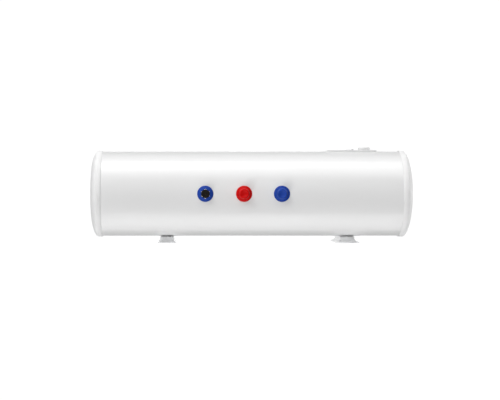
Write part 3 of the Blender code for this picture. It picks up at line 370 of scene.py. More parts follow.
def paint_mark(name, colour):
    """Pad-printed ink: thin, slightly broken at its edges."""
    finish = Finish(name, colour, 0.5)
    finish.tint(finish.ramp(finish.noise(900.0, 4.0), 0.6, 0.75, 0.0, 0.4), lighter(colour, 0.2))
    finish.roughen(finish.noise(500.0), 0.4, 0.6)
    finish.bump(finish.noise(1500.0), 0.00001, 0.4)
    return finish.material


WHITE = (0.84, 0.84, 0.84)
RED = (0.60, 0.002, 0.002)
BLUE = (0.015, 0.058, 0.35)
BLACK = (0.013, 0.011, 0.010)
ACROSS = (0.05, 1.0, 1.0)

FINISHES = {
    "casing_enamel": enamel("casing_enamel", WHITE),
    "cap_plastic": moulded("cap_plastic", (0.88, 0.88, 0.88), 0.5, 0.6, specular=0.2, grain=900.0),
    # The brackets take the casing's white enamel made lighter, to lift their shaded faces and the
    # crease at the casing: white paint in part, painted light in part.
    "bracket_paint": enamel("bracket_paint", (0.94, 0.95, 0.96)),
    "zinc_steel": plated("zinc_steel", (0.66, 0.67, 0.68), 0.3, 0.45, spangle=0.5),
    "bright_steel": plated("bright_steel", (0.86, 0.80, 0.70), 0.12, 0.25, ACROSS),
    "tank_enamel": glazed_tank("tank_enamel", (0.06, 0.10, 0.18)),
    "foam": foam_finish("foam", (0.80, 0.66, 0.34)),
    "rubber": rubber("rubber", (0.025, 0.025, 0.025)),
    "black_plastic": moulded("black_plastic", BLACK, 0.4, 0.55, specular=0.08),
    "blue_plastic": moulded("blue_plastic", BLUE, 0.5, 0.6, specular=0.12, wear=0.04),
    "red_plastic": moulded("red_plastic", RED, 0.5, 0.6, specular=0.12, wear=0.04),
    "knob_plastic": moulded("knob_plastic", (0.80, 0.80, 0.80), 0.4, 0.5, specular=0.15),
    "inner_plastic": moulded("inner_plastic", (0.60, 0.58, 0.52), 0.5, 0.65),
    "lens": lens_finish("lens", (0.80, 0.10, 0.04)),
    "brass": tinned("brass", (0.78, 0.58, 0.28), (0.45, 0.30, 0.12)),
    "copper": tinned("copper", (0.80, 0.44, 0.28), (0.35, 0.22, 0.30)),
    "magnesium": cast_rod("magnesium", (0.60, 0.60, 0.58)),
    "live_insulation": moulded("live_insulation", (0.22, 0.08, 0.03), grain=2500.0),
    "neutral_insulation": moulded("neutral_insulation", (0.04, 0.16, 0.52), grain=2500.0),
    "earth_insulation": moulded("earth_insulation", (0.28, 0.46, 0.04), grain=2500.0),
    "dark_ink": paint_mark("dark_ink", (0.05, 0.06, 0.08)),
    "white_ink": paint_mark("white_ink", (0.80, 0.80, 0.80)),
}


# ---- mesh helpers ----
def mesh_from(bm, name):
    bmesh.ops.recalc_face_normals(bm, faces=bm.faces)
    mesh = bpy.data.meshes.new(name)
    bm.to_mesh(mesh)
    bm.free()
    return mesh


def new_object(name, mesh, place=None):
    obj = bpy.data.objects.new(name, mesh)
    bpy.context.scene.collection.objects.link(obj)
    if place is not None:
        obj.matrix_world = place
    return obj


def apply_modifiers(obj):
    """Bakes an object's modifiers into its mesh."""
    graph = bpy.context.evaluated_depsgraph_get()
    mesh = bpy.data.meshes.new_from_object(obj.evaluated_get(graph))
    obj.modifiers.clear()
    obj.data = mesh


def cut(obj, *tools, operation="DIFFERENCE"):
    """Cuts throw-away tools out of an object."""
    for tool in tools:
        modifier = obj.modifiers.new("cut", "BOOLEAN")
        modifier.operation = operation
        modifier.solver = "EXACT"
        modifier.object = tool
    apply_modifiers(obj)
    for tool in tools:
        bpy.data.objects.remove(tool)


def bevel(obj, width, segments=3, angle=40):
    modifier = obj.modifiers.new("bevel", "BEVEL")
    modifier.width = width
    modifier.segments = segments
    modifier.limit_method = "ANGLE"
    modifier.angle_limit = math.radians(angle)
    modifier.harden_normals = False
    apply_modifiers(obj)


def show(obj, finish, *nodes, body=None, slot=None):
    """Finishes a piece and rides it on its body; it stands for the CAD nodes that are named."""
    obj.data.materials.clear()
    obj.data.materials.append(FINISHES[finish])
    obj.data.shade_smooth()
    obj.data.set_sharp_from_angle(angle=SMOOTH_ANGLE)
    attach(obj, body or BODY_OF[nodes[0]])
    if nodes:
        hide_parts(*nodes)
    return obj


def rounded(corners, steps=4, closed=False):
    """Points along a polyline whose corners (u, v, radius) are rounded off."""
    count = len(corners)
    points = []
    for i, (u, v, radius) in enumerate(corners):
        here = Vector((u, v))
        if radius <= 0 or (not closed and i in (0, count - 1)):
            points.append((u, v))
            continue
        back = Vector(corners[i - 1][:2]) - here
        ahead = Vector(corners[(i + 1) % count][:2]) - here
        half = back.angle(ahead) / 2
        reach = min(radius / math.tan(half), back.length * 0.49, ahead.length * 0.49)
        start = here + back.normalized() * reach
        end = here + ahead.normalized() * reach
        for step in range(steps + 1):
            t = step / steps
            point = start * (1 - t) ** 2 + here * 2 * t * (1 - t) + end * t**2
            points.append((point.x, point.y))
    return points


def join_rings(bm, upper, lower):
    count = max(len(upper), len(lower))
    for i in range(count):
        j = (i + 1) % count
        corners = [upper[i % len(upper)], lower[i % len(lower)]]
        if len(lower) > 1:
            corners.append(lower[j])
        if len(upper) > 1:
            corners.append(upper[j])
        bm.faces.new(corners)


def lathe_mesh(name, outline, sides=FITTING_SIDES, closed=False, flute=None):
    """Turns (radius, height) points round Z; flute(angle, radius, height) may change a radius."""
    bm = bmesh.new()
    rings = []
    for radius, height in outline:
        if radius < TINY:
            rings.append([bm.verts.new((0, 0, height))])
            continue
        ring = []
        for i in range(sides):
            angle = math.tau * i / sides
            reach = flute(angle, radius, height) if flute else radius
            ring.append(bm.verts.new((reach * math.cos(angle), reach * math.sin(angle), height)))
        rings.append(ring)
    for upper, lower in zip(rings, rings[1:]):
        join_rings(bm, upper, lower)
    if closed:
        join_rings(bm, rings[-1], rings[0])
    return mesh_from(bm, name)


def lathe(name, outline, place, sides=FITTING_SIDES, closed=False, flute=None):
    return new_object(name, lathe_mesh(name, outline, sides, closed, flute), place)


def rod(name, radius, low, high, place, sides=SMALL_SIDES):
    outline = [(0, high), (radius, high), (radius, low), (0, low)]
    return lathe(name, outline, place, sides)


def block(name, low, high):
    """A cuboid, for cutting with."""
    low, high = Vector(low), Vector(high)
    bm = bmesh.new()
    bmesh.ops.create_cube(bm, size=1.0)
    bmesh.ops.scale(bm, vec=high - low, verts=bm.verts)
    bmesh.ops.translate(bm, vec=(high + low) / 2, verts=bm.verts)
    return new_object(name, mesh_from(bm, name))


def prism_mesh(name, outline, low, high):
    """A flat outline in its own XY, drawn out along its own Z."""
    bm = bmesh.new()
    bottom = [bm.verts.new((u, v, low)) for u, v in outline]
    top = [bm.verts.new((u, v, high)) for u, v in outline]
    join_rings(bm, top, bottom)
    bm.faces.new(top)
    bm.faces.new(bottom)
    return mesh_from(bm, name)


def round_rectangle(half_u, half_v, corner, steps=6):
    """Points once round a rectangle with rounded corners."""
    points = []
    for quadrant, (su, sv) in enumerate(((1, 1), (-1, 1), (-1, -1), (1, -1))):
        for step in range(steps + 1):
            angle = math.radians(90 * quadrant + 90 * step / steps)
            u = su * (half_u - corner) + corner * math.cos(angle)
            v = sv * (half_v - corner) + corner * math.sin(angle)
            points.append((u, v))
    return points


# ---- holes and places that several pieces share ----
def cap_screw_place(side, number):
    """On the tank's axis, level with a cap screw and facing out along it."""
    screw = middle(f"{side}_cap_screw_{number}")
    out = Vector((0, screw.y - AXIS_Y, screw.z))
    turn = out.to_track_quat("Z", "X").to_matrix().to_4x4()
    return Matrix.Translation((screw.x, AXIS_Y, 0)) @ turn


def cap_screw_hole(side, number):
    place = cap_screw_place(side, number)
    return rod("screw_hole", CAP_SCREW_HOLE, RADIUS - 0.02, RADIUS + 0.02, place, 24)


def bolt_hole(side, number, sides):
    bolt = middle(f"bracket_bolt_{side}_{number}")
    return rod("bolt_hole", BOLT_HOLE, 0.01, 0.03, at(bolt.x, 0, bolt.z, "-Y"), sides)


# ---- casing and caps ----
def end_draw(distance):
    """How far the sheet is drawn in at a distance from mid-length, to slip under its cap."""
    reach = max(0.0, distance - DRAWN_FROM) / (CASING_HALF - DRAWN_FROM)
    return DRAWN_BY * reach * reach


def make_casing():
    """The rolled sheet, with a hole for everything that passes through it."""
    stations = 120
    run = [CASING_HALF * math.sin(math.pi / 2 * (1 - 2 * i / stations)) for i in range(stations + 1)]
    outer = [(RADIUS - end_draw(abs(x)), x) for x in run]
    outline = outer + [(radius - SHEET, x) for radius, x in reversed(outer)]
    place = at(0, AXIS_Y, 0, "+X")
    casing = lathe("casing_shell", outline, place, AROUND, closed=True)
    through = (RADIUS - 0.02, RADIUS + 0.02)
    tools = []
    for x in FITTING_X.values():
        tools.append(rod("fitting_hole", FITTING_HOLE, *through, at(x, AXIS_Y, 0, "-Z")))
    grommet = middle("cord_grommet")
    tools.append(rod("cord_hole", CORD_HOLE, *through, at(grommet.x, AXIS_Y, 0)))
    housing_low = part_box("rocker_housing")[0]
    knob_low, knob_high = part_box("control_knob")
    window_low = (housing_low.x - 0.003, knob_low.y, WINDOW_Z[0])
    window_high = (knob_high.x + 0.008, AXIS_Y - RADIUS + 0.02, WINDOW_Z[1])
    tools.append(block("control_window", window_low, window_high))
    for side in ("left", "right"):
        for number in (1, 2):
            tools.append(bolt_hole(side, number, 24))
            tools.append(cap_screw_hole(side, number))
    cut(casing, *tools)
    show(casing, "casing_enamel", "outer_casing")


def cap_height(fraction):
    """The dome's height above its rim, at a fraction of its radius."""
    return CAP_DOME * (1 - fraction**CAP_DOME_POWER) ** CAP_DOME_ROOT


def make_end_cap(side, facing):
    """The moulded cap: a domed end, a rolled corner, a band and a lip that takes the casing."""
    node = side + "_end_cap"
    low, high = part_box(node)
    radius = (high.z - low.z) / 2
    mouth, tip = min(abs(low.x), abs(high.x)), max(abs(low.x), abs(high.x))
    rim = tip - CAP_DOME
    sleeve = RADIUS + GAP
    steps = 56
    fractions = [math.sin(math.pi / 2 * i / steps) for i in range(steps + 1)]
    outer = [(radius * f, rim + cap_height(f)) for f in fractions]
    band = [
        (radius, mouth + 0.0008),
        (radius - 0.0003, mouth + 0.0002),
        (radius - 0.0007, mouth),
        (sleeve, mouth),
        (sleeve, CASING_HALF + GAP),
        (CAP_LIP, CASING_HALF + GAP),
    ]
    inside = [(CAP_LIP * f, rim - CAP_WALL + cap_height(f)) for f in fractions[steps - 6 :: -6]]
    cap = lathe(side + "_cap_cover", outer + band + inside, at(0, AXIS_Y, 0, facing), AROUND)
    cut(cap, *[cap_screw_hole(side, number) for number in (1, 2)])
    show(cap, "cap_plastic", node)


def make_cap_screw(side, number):
    """A pan-head screw with a cross recess."""
    node = f"{side}_cap_screw_{number}"
    cap_low, cap_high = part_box(side + "_end_cap")
    seat = (cap_high.z - cap_low.z) / 2 + GAP
    place = cap_screw_place(side, number) @ Matrix.Translation((0, 0, seat))
    outline = rounded(
        [
            (0, 0.0016, 0),
            (0.0022, 0.00155, 0.002),
            (0.0034, 0.0008, 0.0007),
            (0.0034, 0, 0),
            (0.0015, 0, 0),
            (0.0015, -0.0075, 0),
            (0.0, -0.009, 0),
        ]
    )
    screw = lathe(node + "_detail", outline, place, SMALL_SIDES)
    cross = []
    for angle in (0, 90):
        arm = block("recess", (-0.0018, -0.0003, 0.0008), (0.0018, 0.0003, 0.003))
        arm.matrix_world = place @ Matrix.Rotation(math.radians(angle + 20 * number), 4, "Z")
        cross.append(arm)
    cut(screw, *cross)
    show(screw, "zinc_steel", node)


# ---- pipe fittings; heights are measured down from the casing's lowest line ----
def fitting_place(name):
    return at(FITTING_X[name], AXIS_Y, -RADIUS, "-Z")


def casing_core(x, radius):
    return rod("casing_core", radius, x - 0.05, x + 0.05, at(0, AXIS_Y, 0, "+X"), 2 * AROUND)


def make_rosette(name, finish, corners):
    """A collar moulded to sit on the round casing."""
    node = name + "_rosette"
    rosette = lathe(name + "_collar", rounded(corners, closed=True), fitting_place(name), closed=True)
    cut(rosette, casing_core(FITTING_X[name], RADIUS + GAP))
    show(rosette, finish, node)


def make_pipe_rosette(name, finish):
    corners = [
        (ROSETTE_BORE, 0.0044, 0.0003),
        (0.0190, 0.0044, 0.0012),
        (0.0212, 0.0030, 0.0030),
        (ROSETTE_RADIUS, 0.0016, 0.0010),
        (ROSETTE_RADIUS, ROSETTE_ROOT, 0),
        (ROSETTE_BORE, ROSETTE_ROOT, 0),
    ]
    make_rosette(name, finish, corners)


def make_cover_cap(name, finish):
    """A thread cover with a foot ring, drafted sides and a dished end."""
    node = name + "_cover_cap"
    corners = [
        (0.0, 0.0228, 0),
        (0.0050, 0.0230, 0.003),
        (0.0082, 0.0243, 0.003),
        (0.0106, 0.0256, 0.002),
        (0.0120, 0.0260, 0.0008),
        (0.0134, 0.0258, 0.0010),
        (0.0144, 0.0242, 0.0012),
        (0.0176, 0.0082, 0.0010),
        (0.0190, 0.0077, 0.0008),
        (0.0190, 0.0050, 0.0004),
        (0.0112, 0.0050, 0),
        (0.0112, 0.0210, 0),
        (0.0070, 0.0210, 0),
        (0.0060, 0.0200, 0),
        (0.0, 0.0200, 0),
    ]
    cap = lathe(node + "_moulding", rounded(corners, 5), fitting_place(name))
    show(cap, finish, node)


def threaded(angle, radius, height):
    """A rounded helical thread on a stub's outside, run out at both ends."""
    low, high = THREAD_RUN
    if radius < STUB_RADIUS - TINY or not low < height < high:
        return radius
    turn = (height / THREAD_PITCH - angle / math.tau) % 1.0
    depth = THREAD_DEPTH * (0.5 + 0.5 * math.cos(math.tau * turn))
    fade = min(1.0, (height - low) / THREAD_PITCH, (high - height) / THREAD_PITCH)
    return radius - depth * fade


def make_stub(name, node):
    """The half-inch male stub, threaded below its collar."""
    radius, top, end = STUB_RADIUS, STUB_TOP, STUB_END
    rows = 120
    side = [(radius, end - 0.001 + (0.006 - end + 0.001) * i / rows) for i in range(rows + 1)]
    outline = [(STUB_BORE, end), (radius - 0.0010, end), *side, (radius, top), (STUB_BORE, top)]
    stub = lathe(node + "_threaded", outline, fitting_place(name), closed=True, flute=threaded)
    show(stub, "zinc_steel", node)


def make_drain_rosette():
    """A wider, taller collar than the pipes' ones."""
    corners = [
        (ROSETTE_BORE, 0.0080, 0.0003),
        (0.0148, 0.0080, 0.0008),
        (0.0200, 0.0052, 0.0040),
        (0.0246, 0.0020, 0.0015),
        (ROSETTE_RADIUS, 0.0006, 0.0005),
        (ROSETTE_RADIUS, ROSETTE_ROOT, 0),
        (ROSETTE_BORE, ROSETTE_ROOT, 0),
    ]
    make_rosette("drain", "blue_plastic", corners)


def make_drain_fitting():
    """A chamfered hexagon on its spigot."""
    corner = HEXAGON_FLATS / math.sqrt(3)
    outline = []
    for i in range(6):
        angle = math.radians(90 + 60 * i)
        outline.append((corner * math.cos(angle), corner * math.sin(angle)))
    low, high = HEXAGON_TOP, HEXAGON_END
    place = fitting_place("drain")
    fitting = new_object("drain_hexagon", prism_mesh("drain_hexagon", outline, low, high), place)
    cone = [
        (0.0, high + 0.0001),
        (HEXAGON_FLATS / 2 - 0.0006, high + 0.0001),
        (corner + 0.003, high - 0.0032),
        (corner + 0.003, low - 0.001),
        (0.0, low - 0.001),
    ]
    cut(fitting, lathe("chamfer", cone, place), operation="INTERSECT")
    spigot = rod("spigot", STUB_RADIUS, STUB_TOP, low + 0.004, place, 64)
    cut(fitting, spigot, operation="UNION")
    cut(fitting, rod("mouth", 0.0085, -0.05, 0.05, place, 64))
    bevel(fitting, 0.0004)
    show(fitting, "bright_steel", "drain_fitting")


def make_drain_plug():
    """A black stopper with a raised rim and a coin slot."""
    place = fitting_place("drain")
    face = HEXAGON_END + GAP
    corners = [
        (0.0, face + 0.0022, 0),
        (0.0064, face + 0.0022, 0.0004),
        (0.0074, face + 0.0034, 0.0006),
        (0.0124, face + 0.0033, 0.0008),
        (0.0134, face + 0.0022, 0.0006),
        (0.0134, face, 0.0003),
        (0.0081, face, 0.0002),
        (0.0081, face - 0.0120, 0.0006),
        (0.0, face - 0.0120, 0),
    ]
    plug = lathe("drain_plug_moulding", rounded(corners), place)
    slot = block("coin_slot", (-0.0055, -0.0009, face + 0.0012), (0.0055, 0.0009, face + 0.01))
    slot.matrix_world = place @ Matrix.Rotation(math.radians(25), 4, "Z")
    cut(plug, slot)
    show(plug, "black_plastic", "drain_plug")


# ---- wall brackets ----
def blended_rings(rings, steps):
    """More rings on a Catmull-Rom curve through the given ones."""
    rows = [Vector(ring[:3]).to_4d() for ring in rings]
    for row, ring in zip(rows, rings):
        row[3] = ring[3]
    ends = [rows[0], *rows, rows[-1]]
    made = []
    for i in range(len(rows) - 1):
        a, b, c, d = ends[i : i + 4]
        for step in range(steps):
            t = step / steps
            curve = 2 * b + (c - a) * t + (2 * a - 5 * b + 4 * c - d) * t**2
            made.append((curve + (3 * b - a - 3 * c + d) * t**3) / 2)
    return made + [rows[-1]]


def make_bracket(side, flare, flare_depth):
    """A pressed pan with a flared rim that stands on the wall."""
    node = "wall_bracket_" + side
    low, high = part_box(node)
    x = middle("tank_saddle_" + side).x
    floor_y, rim_y = low.y, -BRACKET_SHEET
    width, length = BRACKET_HALF_WIDTH, BRACKET_HALF_LENGTH
    centre_z = (low.z + high.z) / 2
    top_width, top_length = width - BRACKET_TAPER, length - BRACKET_TAPER
    rings = [
        (top_width - 0.0026, top_length - 0.0026, 0.002, floor_y),
        (top_width - 0.0010, top_length - 0.0010, 0.004, floor_y + 0.0008),
        (top_width, top_length, 0.0045, floor_y + 0.003),
        (width, length, 0.005, rim_y - flare_depth),
        (width + 0.42 * flare, length + 0.0025, 0.006, rim_y - 0.5 * flare_depth),
        (width + flare, length + 0.006, 0.008, rim_y),
    ]
    bm = bmesh.new()
    loops = []
    for half_width, half_length, corner, y in blended_rings(rings, 4):
        outline = round_rectangle(half_width, half_length, corner)
        loops.append([bm.verts.new((x + u, y, centre_z + v)) for u, v in outline])
    for lower, upper in zip(loops, loops[1:]):
        join_rings(bm, lower, upper)
    bm.faces.new(loops[0])
    pan = new_object("bracket_pan_" + side, mesh_from(bm, node))
    thicken = pan.modifiers.new("sheet", "SOLIDIFY")
    thicken.thickness = BRACKET_SHEET
    thicken.offset = -1.0
    thicken.use_even_offset = True
    apply_modifiers(pan)
    cut(pan, *[bolt_hole(side, number, 32) for number in (1, 2)])
    show(pan, "bracket_paint", node)


def make_bracket_bolt(side, number):
    """A button-head bolt with a hexagon socket."""
    node = f"bracket_bolt_{side}_{number}"
    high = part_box(node)[1]
    centre = middle(node)
    head = 0.0052
    place = at(centre.x, high.y - head, centre.z, "+Y")
    corners = [
        (0.0, head, 0),
        (0.0040, head, 0.002),
        (0.0070, 0.0022, 0.003),
        (0.0070, 0.0, 0.0003),
        (0.0040, 0.0, 0),
        (0.0040, -0.0172, 0),
        (0.0034, -0.018, 0),
        (0.0, -0.018, 0),
    ]
    bolt = lathe(node + "_detail", rounded(corners), place, SMALL_SIDES)
    key = rod("socket", 0.0029, head - 0.0026, head + 0.01, place, 6)
    cut(bolt, key)
    show(bolt, "zinc_steel", node)


# ---- controls ----
def make_fascia():
    """The moulded panel, its back shaped to the casing and its edges softly rounded."""
    low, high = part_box("control_fascia")
    centre = middle("control_fascia")
    half_x, half_z = (high.x - low.x) / 2, (high.z - low.z) / 2
    corner = 0.008
    shapes = [
        (half_x, half_z, low.y + 0.012),
        (half_x, half_z, low.y + 0.0016),
        (half_x - 0.0001, half_z - 0.0001, low.y + 0.0010),
        (half_x - 0.0004, half_z - 0.0004, low.y + 0.0005),
        (half_x - 0.0009, half_z - 0.0009, low.y + 0.0001),
        (half_x - 0.0015, half_z - 0.0015, low.y),
    ]
    bm = bmesh.new()
    loops = []
    for half_u, half_v, y in shapes:
        inset = half_x - half_u
        outline = round_rectangle(half_u, half_v, corner - inset, 10)
        loops.append([bm.verts.new((centre.x + u, y, v)) for u, v in outline])
    for lower, upper in zip(loops, loops[1:]):
        join_rings(bm, lower, upper)
    bm.faces.new(loops[0])
    bm.faces.new(loops[-1])
    fascia = new_object("fascia_panel", mesh_from(bm, "fascia_panel"))
    knob = middle("control_knob")
    lamp = middle("indicator_lamp")
    rocker = middle("rocker_housing")
    hole_low = (rocker.x - 0.0113, low.y - 0.01, -0.0078)
    hole_high = (rocker.x + 0.0113, -0.27, 0.0078)
    tools = [
        rod("core", RADIUS + GAP, low.x - 0.05, high.x + 0.05, at(0, AXIS_Y, 0, "+X"), 2 * AROUND),
        rod("spindle_hole", 0.004, 0.1, 0.16, at(knob.x, AXIS_Y, 0, "-Y")),
        rod("lamp_hole", 0.0033, 0.1, 0.16, at(lamp.x, AXIS_Y, lamp.z, "-Y")),
        block("rocker_hole", hole_low, hole_high),
    ]
    cut(fascia, *tools)
    show(fascia, "cap_plastic", "control_fascia")


def fluted(angle, radius, height):
    """Shallow grip flutes round the knob's side, which leave its face plain."""
    if radius < FLUTE_FROM:
        return radius
    return radius - FLUTE_DEPTH * (0.5 + 0.5 * math.cos(FLUTES * angle))


def make_knob():
    """The thermostat's knob, with a dark line let into its face as the pointer."""
    low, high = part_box("control_knob")
    x = middle("control_knob").x
    front = AXIS_Y - low.y
    back = AXIS_Y - high.y
    radius = (high.x - low.x) / 2
    corners = [
        (0.0, front - 0.0003, 0),
        (0.0100, front - 0.0002, 0.004),
        (radius - 0.0042, front, 0.003),
        (radius - 0.0016, front - 0.0004, 0.0012),
        (radius - 0.0003, front - 0.0022, 0.0012),
        (radius, back + 0.0004, 0.0004),
        (radius - 0.0006, back, 0.0002),
        (0.0033, back, 0),
        (0.0033, back + 0.0056, 0),
        (0.0, back + 0.0056, 0),
    ]
    place = at(x, AXIS_Y, 0, "-Y")
    knob = lathe("knob_moulding", rounded(corners, 5), place, 8 * FLUTES, flute=fluted)
    groove_low = (x - 0.0008, low.y - 0.01, 0.006)
    groove_high = (x + 0.0008, low.y + 0.0009, 0.0145)
    cut(knob, block("pointer_groove", groove_low, groove_high))
    show(knob, "knob_plastic", "control_knob")

    ink_low = Vector((x - 0.00075, low.y + 0.0006, 0.00605))
    ink_high = Vector((x + 0.00075, low.y + 0.0010, 0.01445))
    ink = block("pointer_ink", ink_low, ink_high)
    bevel(ink, 0.0001, 2)
    show(ink, "dark_ink", body=BODY_OF["control_knob"], slot="black_plastic")


def make_dial_scale():
    """Printed marks round the knob that grow from cool to hot, over the knob's own sweep."""
    x = middle("control_knob").x
    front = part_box("control_fascia")[0].y
    bm = bmesh.new()
    for i in range(DIAL_MARKS):
        along = i / (DIAL_MARKS - 1)
        angle = math.pi / 2 - DIAL_SWEEP * along
        half_length = 0.0008 + 0.0012 * along
        half_width = 0.0003 + 0.0003 * along
        distance = DIAL_RADIUS + half_length
        place = Matrix.Translation((x, front, 0)) @ Matrix.Rotation(math.pi / 2 - angle, 4, "Y")
        outline = round_rectangle(half_width, half_length, half_width * 0.9, 4)
        face = [bm.verts.new(place @ Vector((u, -0.00006, v + distance))) for u, v in outline]
        back = [bm.verts.new(place @ Vector((u, -0.00001, v + distance))) for u, v in outline]
        join_rings(bm, face, back)
        bm.faces.new(face)
        bm.faces.new(back)
    scale = new_object("dial_scale", mesh_from(bm, "dial_scale"))
    show(scale, "dark_ink", body=BODY_OF["control_fascia"], slot="black_plastic")


def rocker_place():
    centre = middle("rocker_housing")
    pivot = Vector((centre.x, AXIS_Y - ROCKER_PIVOT, 0.0))
    tip = Matrix.Rotation(-ROCKER_TILT, 4, "Z")
    return Matrix.Translation(pivot) @ tip @ Matrix.Rotation(math.pi, 4, "X")


def rocker_face(u):
    """The height of the paddle's dished face, at a distance from its middle."""
    return 0.0016 + 0.0010 * (u / ROCKER_HALF) ** 2


def make_rocker():
    """The paddle, its face hollowed from end to end, on its pin."""
    place = rocker_place()
    half = ROCKER_HALF
    steps = 16
    top = []
    for i in range(steps + 1):
        u = -half + 2 * half * i / steps
        top.append((u, rocker_face(u)))
    under = [(half, -0.0010), (half - 0.0035, -0.0042), (0.0035 - half, -0.0042), (-half, -0.0010)]
    outline = top + under
    paddle = new_object("rocker_paddle", prism_mesh("rocker_paddle", outline, -0.0052, 0.0052), place)
    bevel(paddle, 0.0005, 3, 30)
    cut(paddle, rod("pin", 0.0012, -0.0066, 0.0066, place, 24), operation="UNION")
    show(paddle, "black_plastic", "rocker_switch")


def add_line_mark(bm, u):
    """A short bar across the paddle."""
    lift = rocker_face(u)
    outline = round_rectangle(0.0017, 0.00025, 0.0002, 3)
    face = [bm.verts.new((u + along, lift + 0.00006, across)) for along, across in outline]
    back = [bm.verts.new((u + along, lift - MARK_SINK, across)) for along, across in outline]
    join_rings(bm, face, back)
    bm.faces.new(face)
    bm.faces.new(back)


def add_ring_mark(bm, middle_u):
    """A small ring."""
    lift = rocker_face(middle_u)
    steps = 32
    rings = []
    for radius, v in ((0.0016, 0.0001), (0.0016, -MARK_SINK), (0.0011, -MARK_SINK), (0.0011, 0.0001)):
        ring = []
        for i in range(steps):
            angle = math.tau * i / steps
            u = middle_u + radius * math.cos(angle)
            ring.append(bm.verts.new((u, lift + v, radius * math.sin(angle))))
        rings.append(ring)
    for i in range(len(rings)):
        join_rings(bm, rings[i], rings[(i + 1) % len(rings)])


def make_rocker_marks():
    """The usual line and ring, let into the paddle's face."""
    place = rocker_place()
    bm = bmesh.new()
    add_line_mark(bm, 0.006)
    add_ring_mark(bm, -0.006)
    marks = new_object("rocker_marks", mesh_from(bm, "rocker_marks"), place)
    show(marks, "white_ink", body=BODY_OF["rocker_switch"], slot="black_plastic")


def make_indicator():
    """The lamp's domed lens and barrel."""
    low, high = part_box("indicator_lamp")
    centre = middle("indicator_lamp")
    radius = (high.x - low.x) / 2
    front = AXIS_Y - low.y
    corners = [
        (0.0, front, 0),
        (0.0018, front - 0.0001, 0.0012),
        (radius, front - 0.0008, 0.0006),
        (radius, AXIS_Y - high.y, 0.0002),
        (0.0, AXIS_Y - high.y, 0),
    ]
    place = at(centre.x, AXIS_Y, centre.z, "-Y")
    lamp = lathe("indicator_lens", rounded(corners), place, SMALL_SIDES)
    show(lamp, "lens", "indicator_lamp")


def make_grommet():
    """The cord's rubber grommet, ribbed where it grips the sheet."""
    x = middle("cord_grommet").x
    out, within = RADIUS, RADIUS - SHEET
    corners = [
        (0.0050, out + 0.0030, 0.0004),
        (0.0088, out + 0.0028, 0.0012),
        (0.0104, out + 0.0008, 0.0006),
        (0.0104, out + GAP, 0.0002),
        (0.0075, out + GAP, 0),
        (0.0075, within - 0.0008, 0),
        (0.0098, within - 0.0008, 0.0003),
        (0.0092, within - 0.0030, 0.0006),
        (0.0050, within - 0.0030, 0.0004),
    ]
    grommet = lathe("cord_gland", rounded(corners, closed=True), at(x, AXIS_Y, 0), closed=True)
    show(grommet, "rubber", "cord_grommet")


def finish_frame_nodes():
    """Gives every CAD node that stays visible its own finish and smooth shading."""
    for name, obj in frame["nodes"].items():
        finish = FINISHES[SLOT_OF[name]]
        obj.data.materials.clear()
        obj.data.materials.append(finish)
        obj.data.shade_smooth()
        obj.data.set_sharp_from_angle(angle=SMOOTH_ANGLE)


def make_object():
    finish_frame_nodes()
    make_casing()
    make_end_cap("left", "-X")
    make_end_cap("right", "+X")
    for side in ("left", "right"):
        for number in (1, 2):
            make_cap_screw(side, number)
            make_bracket_bolt(side, number)
    make_bracket("left", 0.0062, 0.0055)
    make_bracket("right", 0.0140, 0.0085)
    make_pipe_rosette("hot", "red_plastic")
    make_pipe_rosette("cold", "blue_plastic")
    make_cover_cap("hot", "red_plastic")
    make_cover_cap("cold", "blue_plastic")
    make_stub("hot", "hot_outlet_stub")
    make_stub("cold", "cold_inlet_stub")
    make_drain_rosette()
    make_drain_fitting()
    make_drain_plug()
    make_fascia()
    make_knob()
    make_dial_scale()
    make_rocker()
    make_rocker_marks()
    make_indicator()
    make_grommet()


# ---- studio ----
def make_floor():
    """A plain pale disc far below, under the camera as well."""
    bm = bmesh.new()
    bmesh.ops.create_circle(bm, cap_ends=True, segments=FITTING_SIDES, radius=FLOOR_RADIUS)
    floor = new_object("floor", mesh_from(bm, "floor"), at(0, 0, FLOOR_Z))
    finish = Finish("studio_floor", (0.62, 0.62, 0.62), 0.8)
    finish.tint(finish.ramp(finish.noise(1.5, 4.0), 0.3, 0.8, 0.0, 0.2), (0.58, 0.58, 0.58))
    floor.data.materials.append(finish.material)


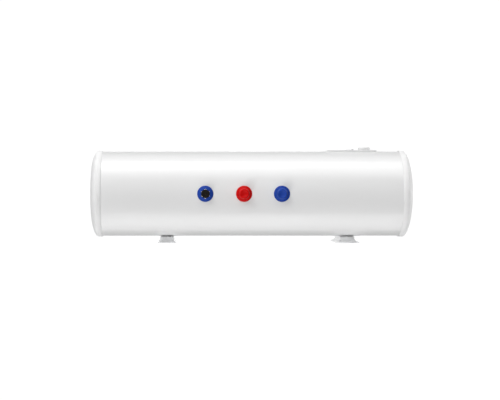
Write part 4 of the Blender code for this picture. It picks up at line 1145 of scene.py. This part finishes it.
def softbox(name, angle, tilt, spans, strength):
    """A far softbox that faces the heater, at an angle from straight below towards the front.

    Its tilt moves it round to the left, and its spans say how wide it looks in degrees, along
    the heater and across. The strength is what it casts on a surface that faces it."""
    bearing, lean = math.radians(angle), math.radians(tilt)
    away = Vector((0, -math.sin(bearing), -math.cos(bearing))) * math.cos(lean)
    away.x = -math.sin(lean)
    data = bpy.data.lights.new(name, "AREA")
    data.shape = "RECTANGLE"
    data.size, data.size_y = (2 * STUDIO_RADIUS * math.tan(math.radians(span) / 2) for span in spans)
    data.energy = strength * STUDIO_RADIUS**2
    light = bpy.data.objects.new(name, data)
    bpy.context.scene.collection.objects.link(light)
    along = away.cross(Vector((1, 0, 0))).normalized()
    across = along.cross(away)
    turn = Matrix((across, along, away)).transposed().to_4x4()
    light.matrix_world = Matrix.Translation(Vector((0, AXIS_Y, 0)) + away * STUDIO_RADIUS) @ turn
    light.visible_camera = False


def make_world(seen, cast):
    """White as the camera sees it; on the object it casts only a faint fill."""
    world = bpy.data.worlds.new("studio")
    bpy.context.scene.world = world
    world.use_nodes = True
    nodes, links = world.node_tree.nodes, world.node_tree.links
    background = nodes["Background"]
    background.inputs["Color"].default_value = (1, 1, 1, 1)
    path = nodes.new("ShaderNodeLightPath")
    strength = nodes.new("ShaderNodeMapRange")
    strength.inputs["To Min"].default_value = cast
    strength.inputs["To Max"].default_value = seen
    links.new(path.outputs["Is Camera Ray"], strength.inputs["Value"])
    links.new(strength.outputs["Result"], background.inputs["Strength"])


def make_camera():
    """Straight below the heater, looking up, the front at the picture's top."""
    data = bpy.data.cameras.new("camera")
    data.lens = CAMERA_LENS
    data.shift_x, data.shift_y = CAMERA_SHIFT
    data.clip_end = 100
    camera = bpy.data.objects.new("camera", data)
    bpy.context.scene.collection.objects.link(camera)
    camera.location = CAMERA_PLACE
    camera.rotation_euler = (math.pi, 0, 0)
    bpy.context.scene.camera = camera


def make_studio():
    make_floor()
    make_world(WORLD_SEEN, WORLD_CAST)
    for settings in SOFTBOXES:
        softbox(*settings)
    make_camera()
    bpy.context.scene.view_settings.view_transform = "Standard"


make_object()
make_studio()
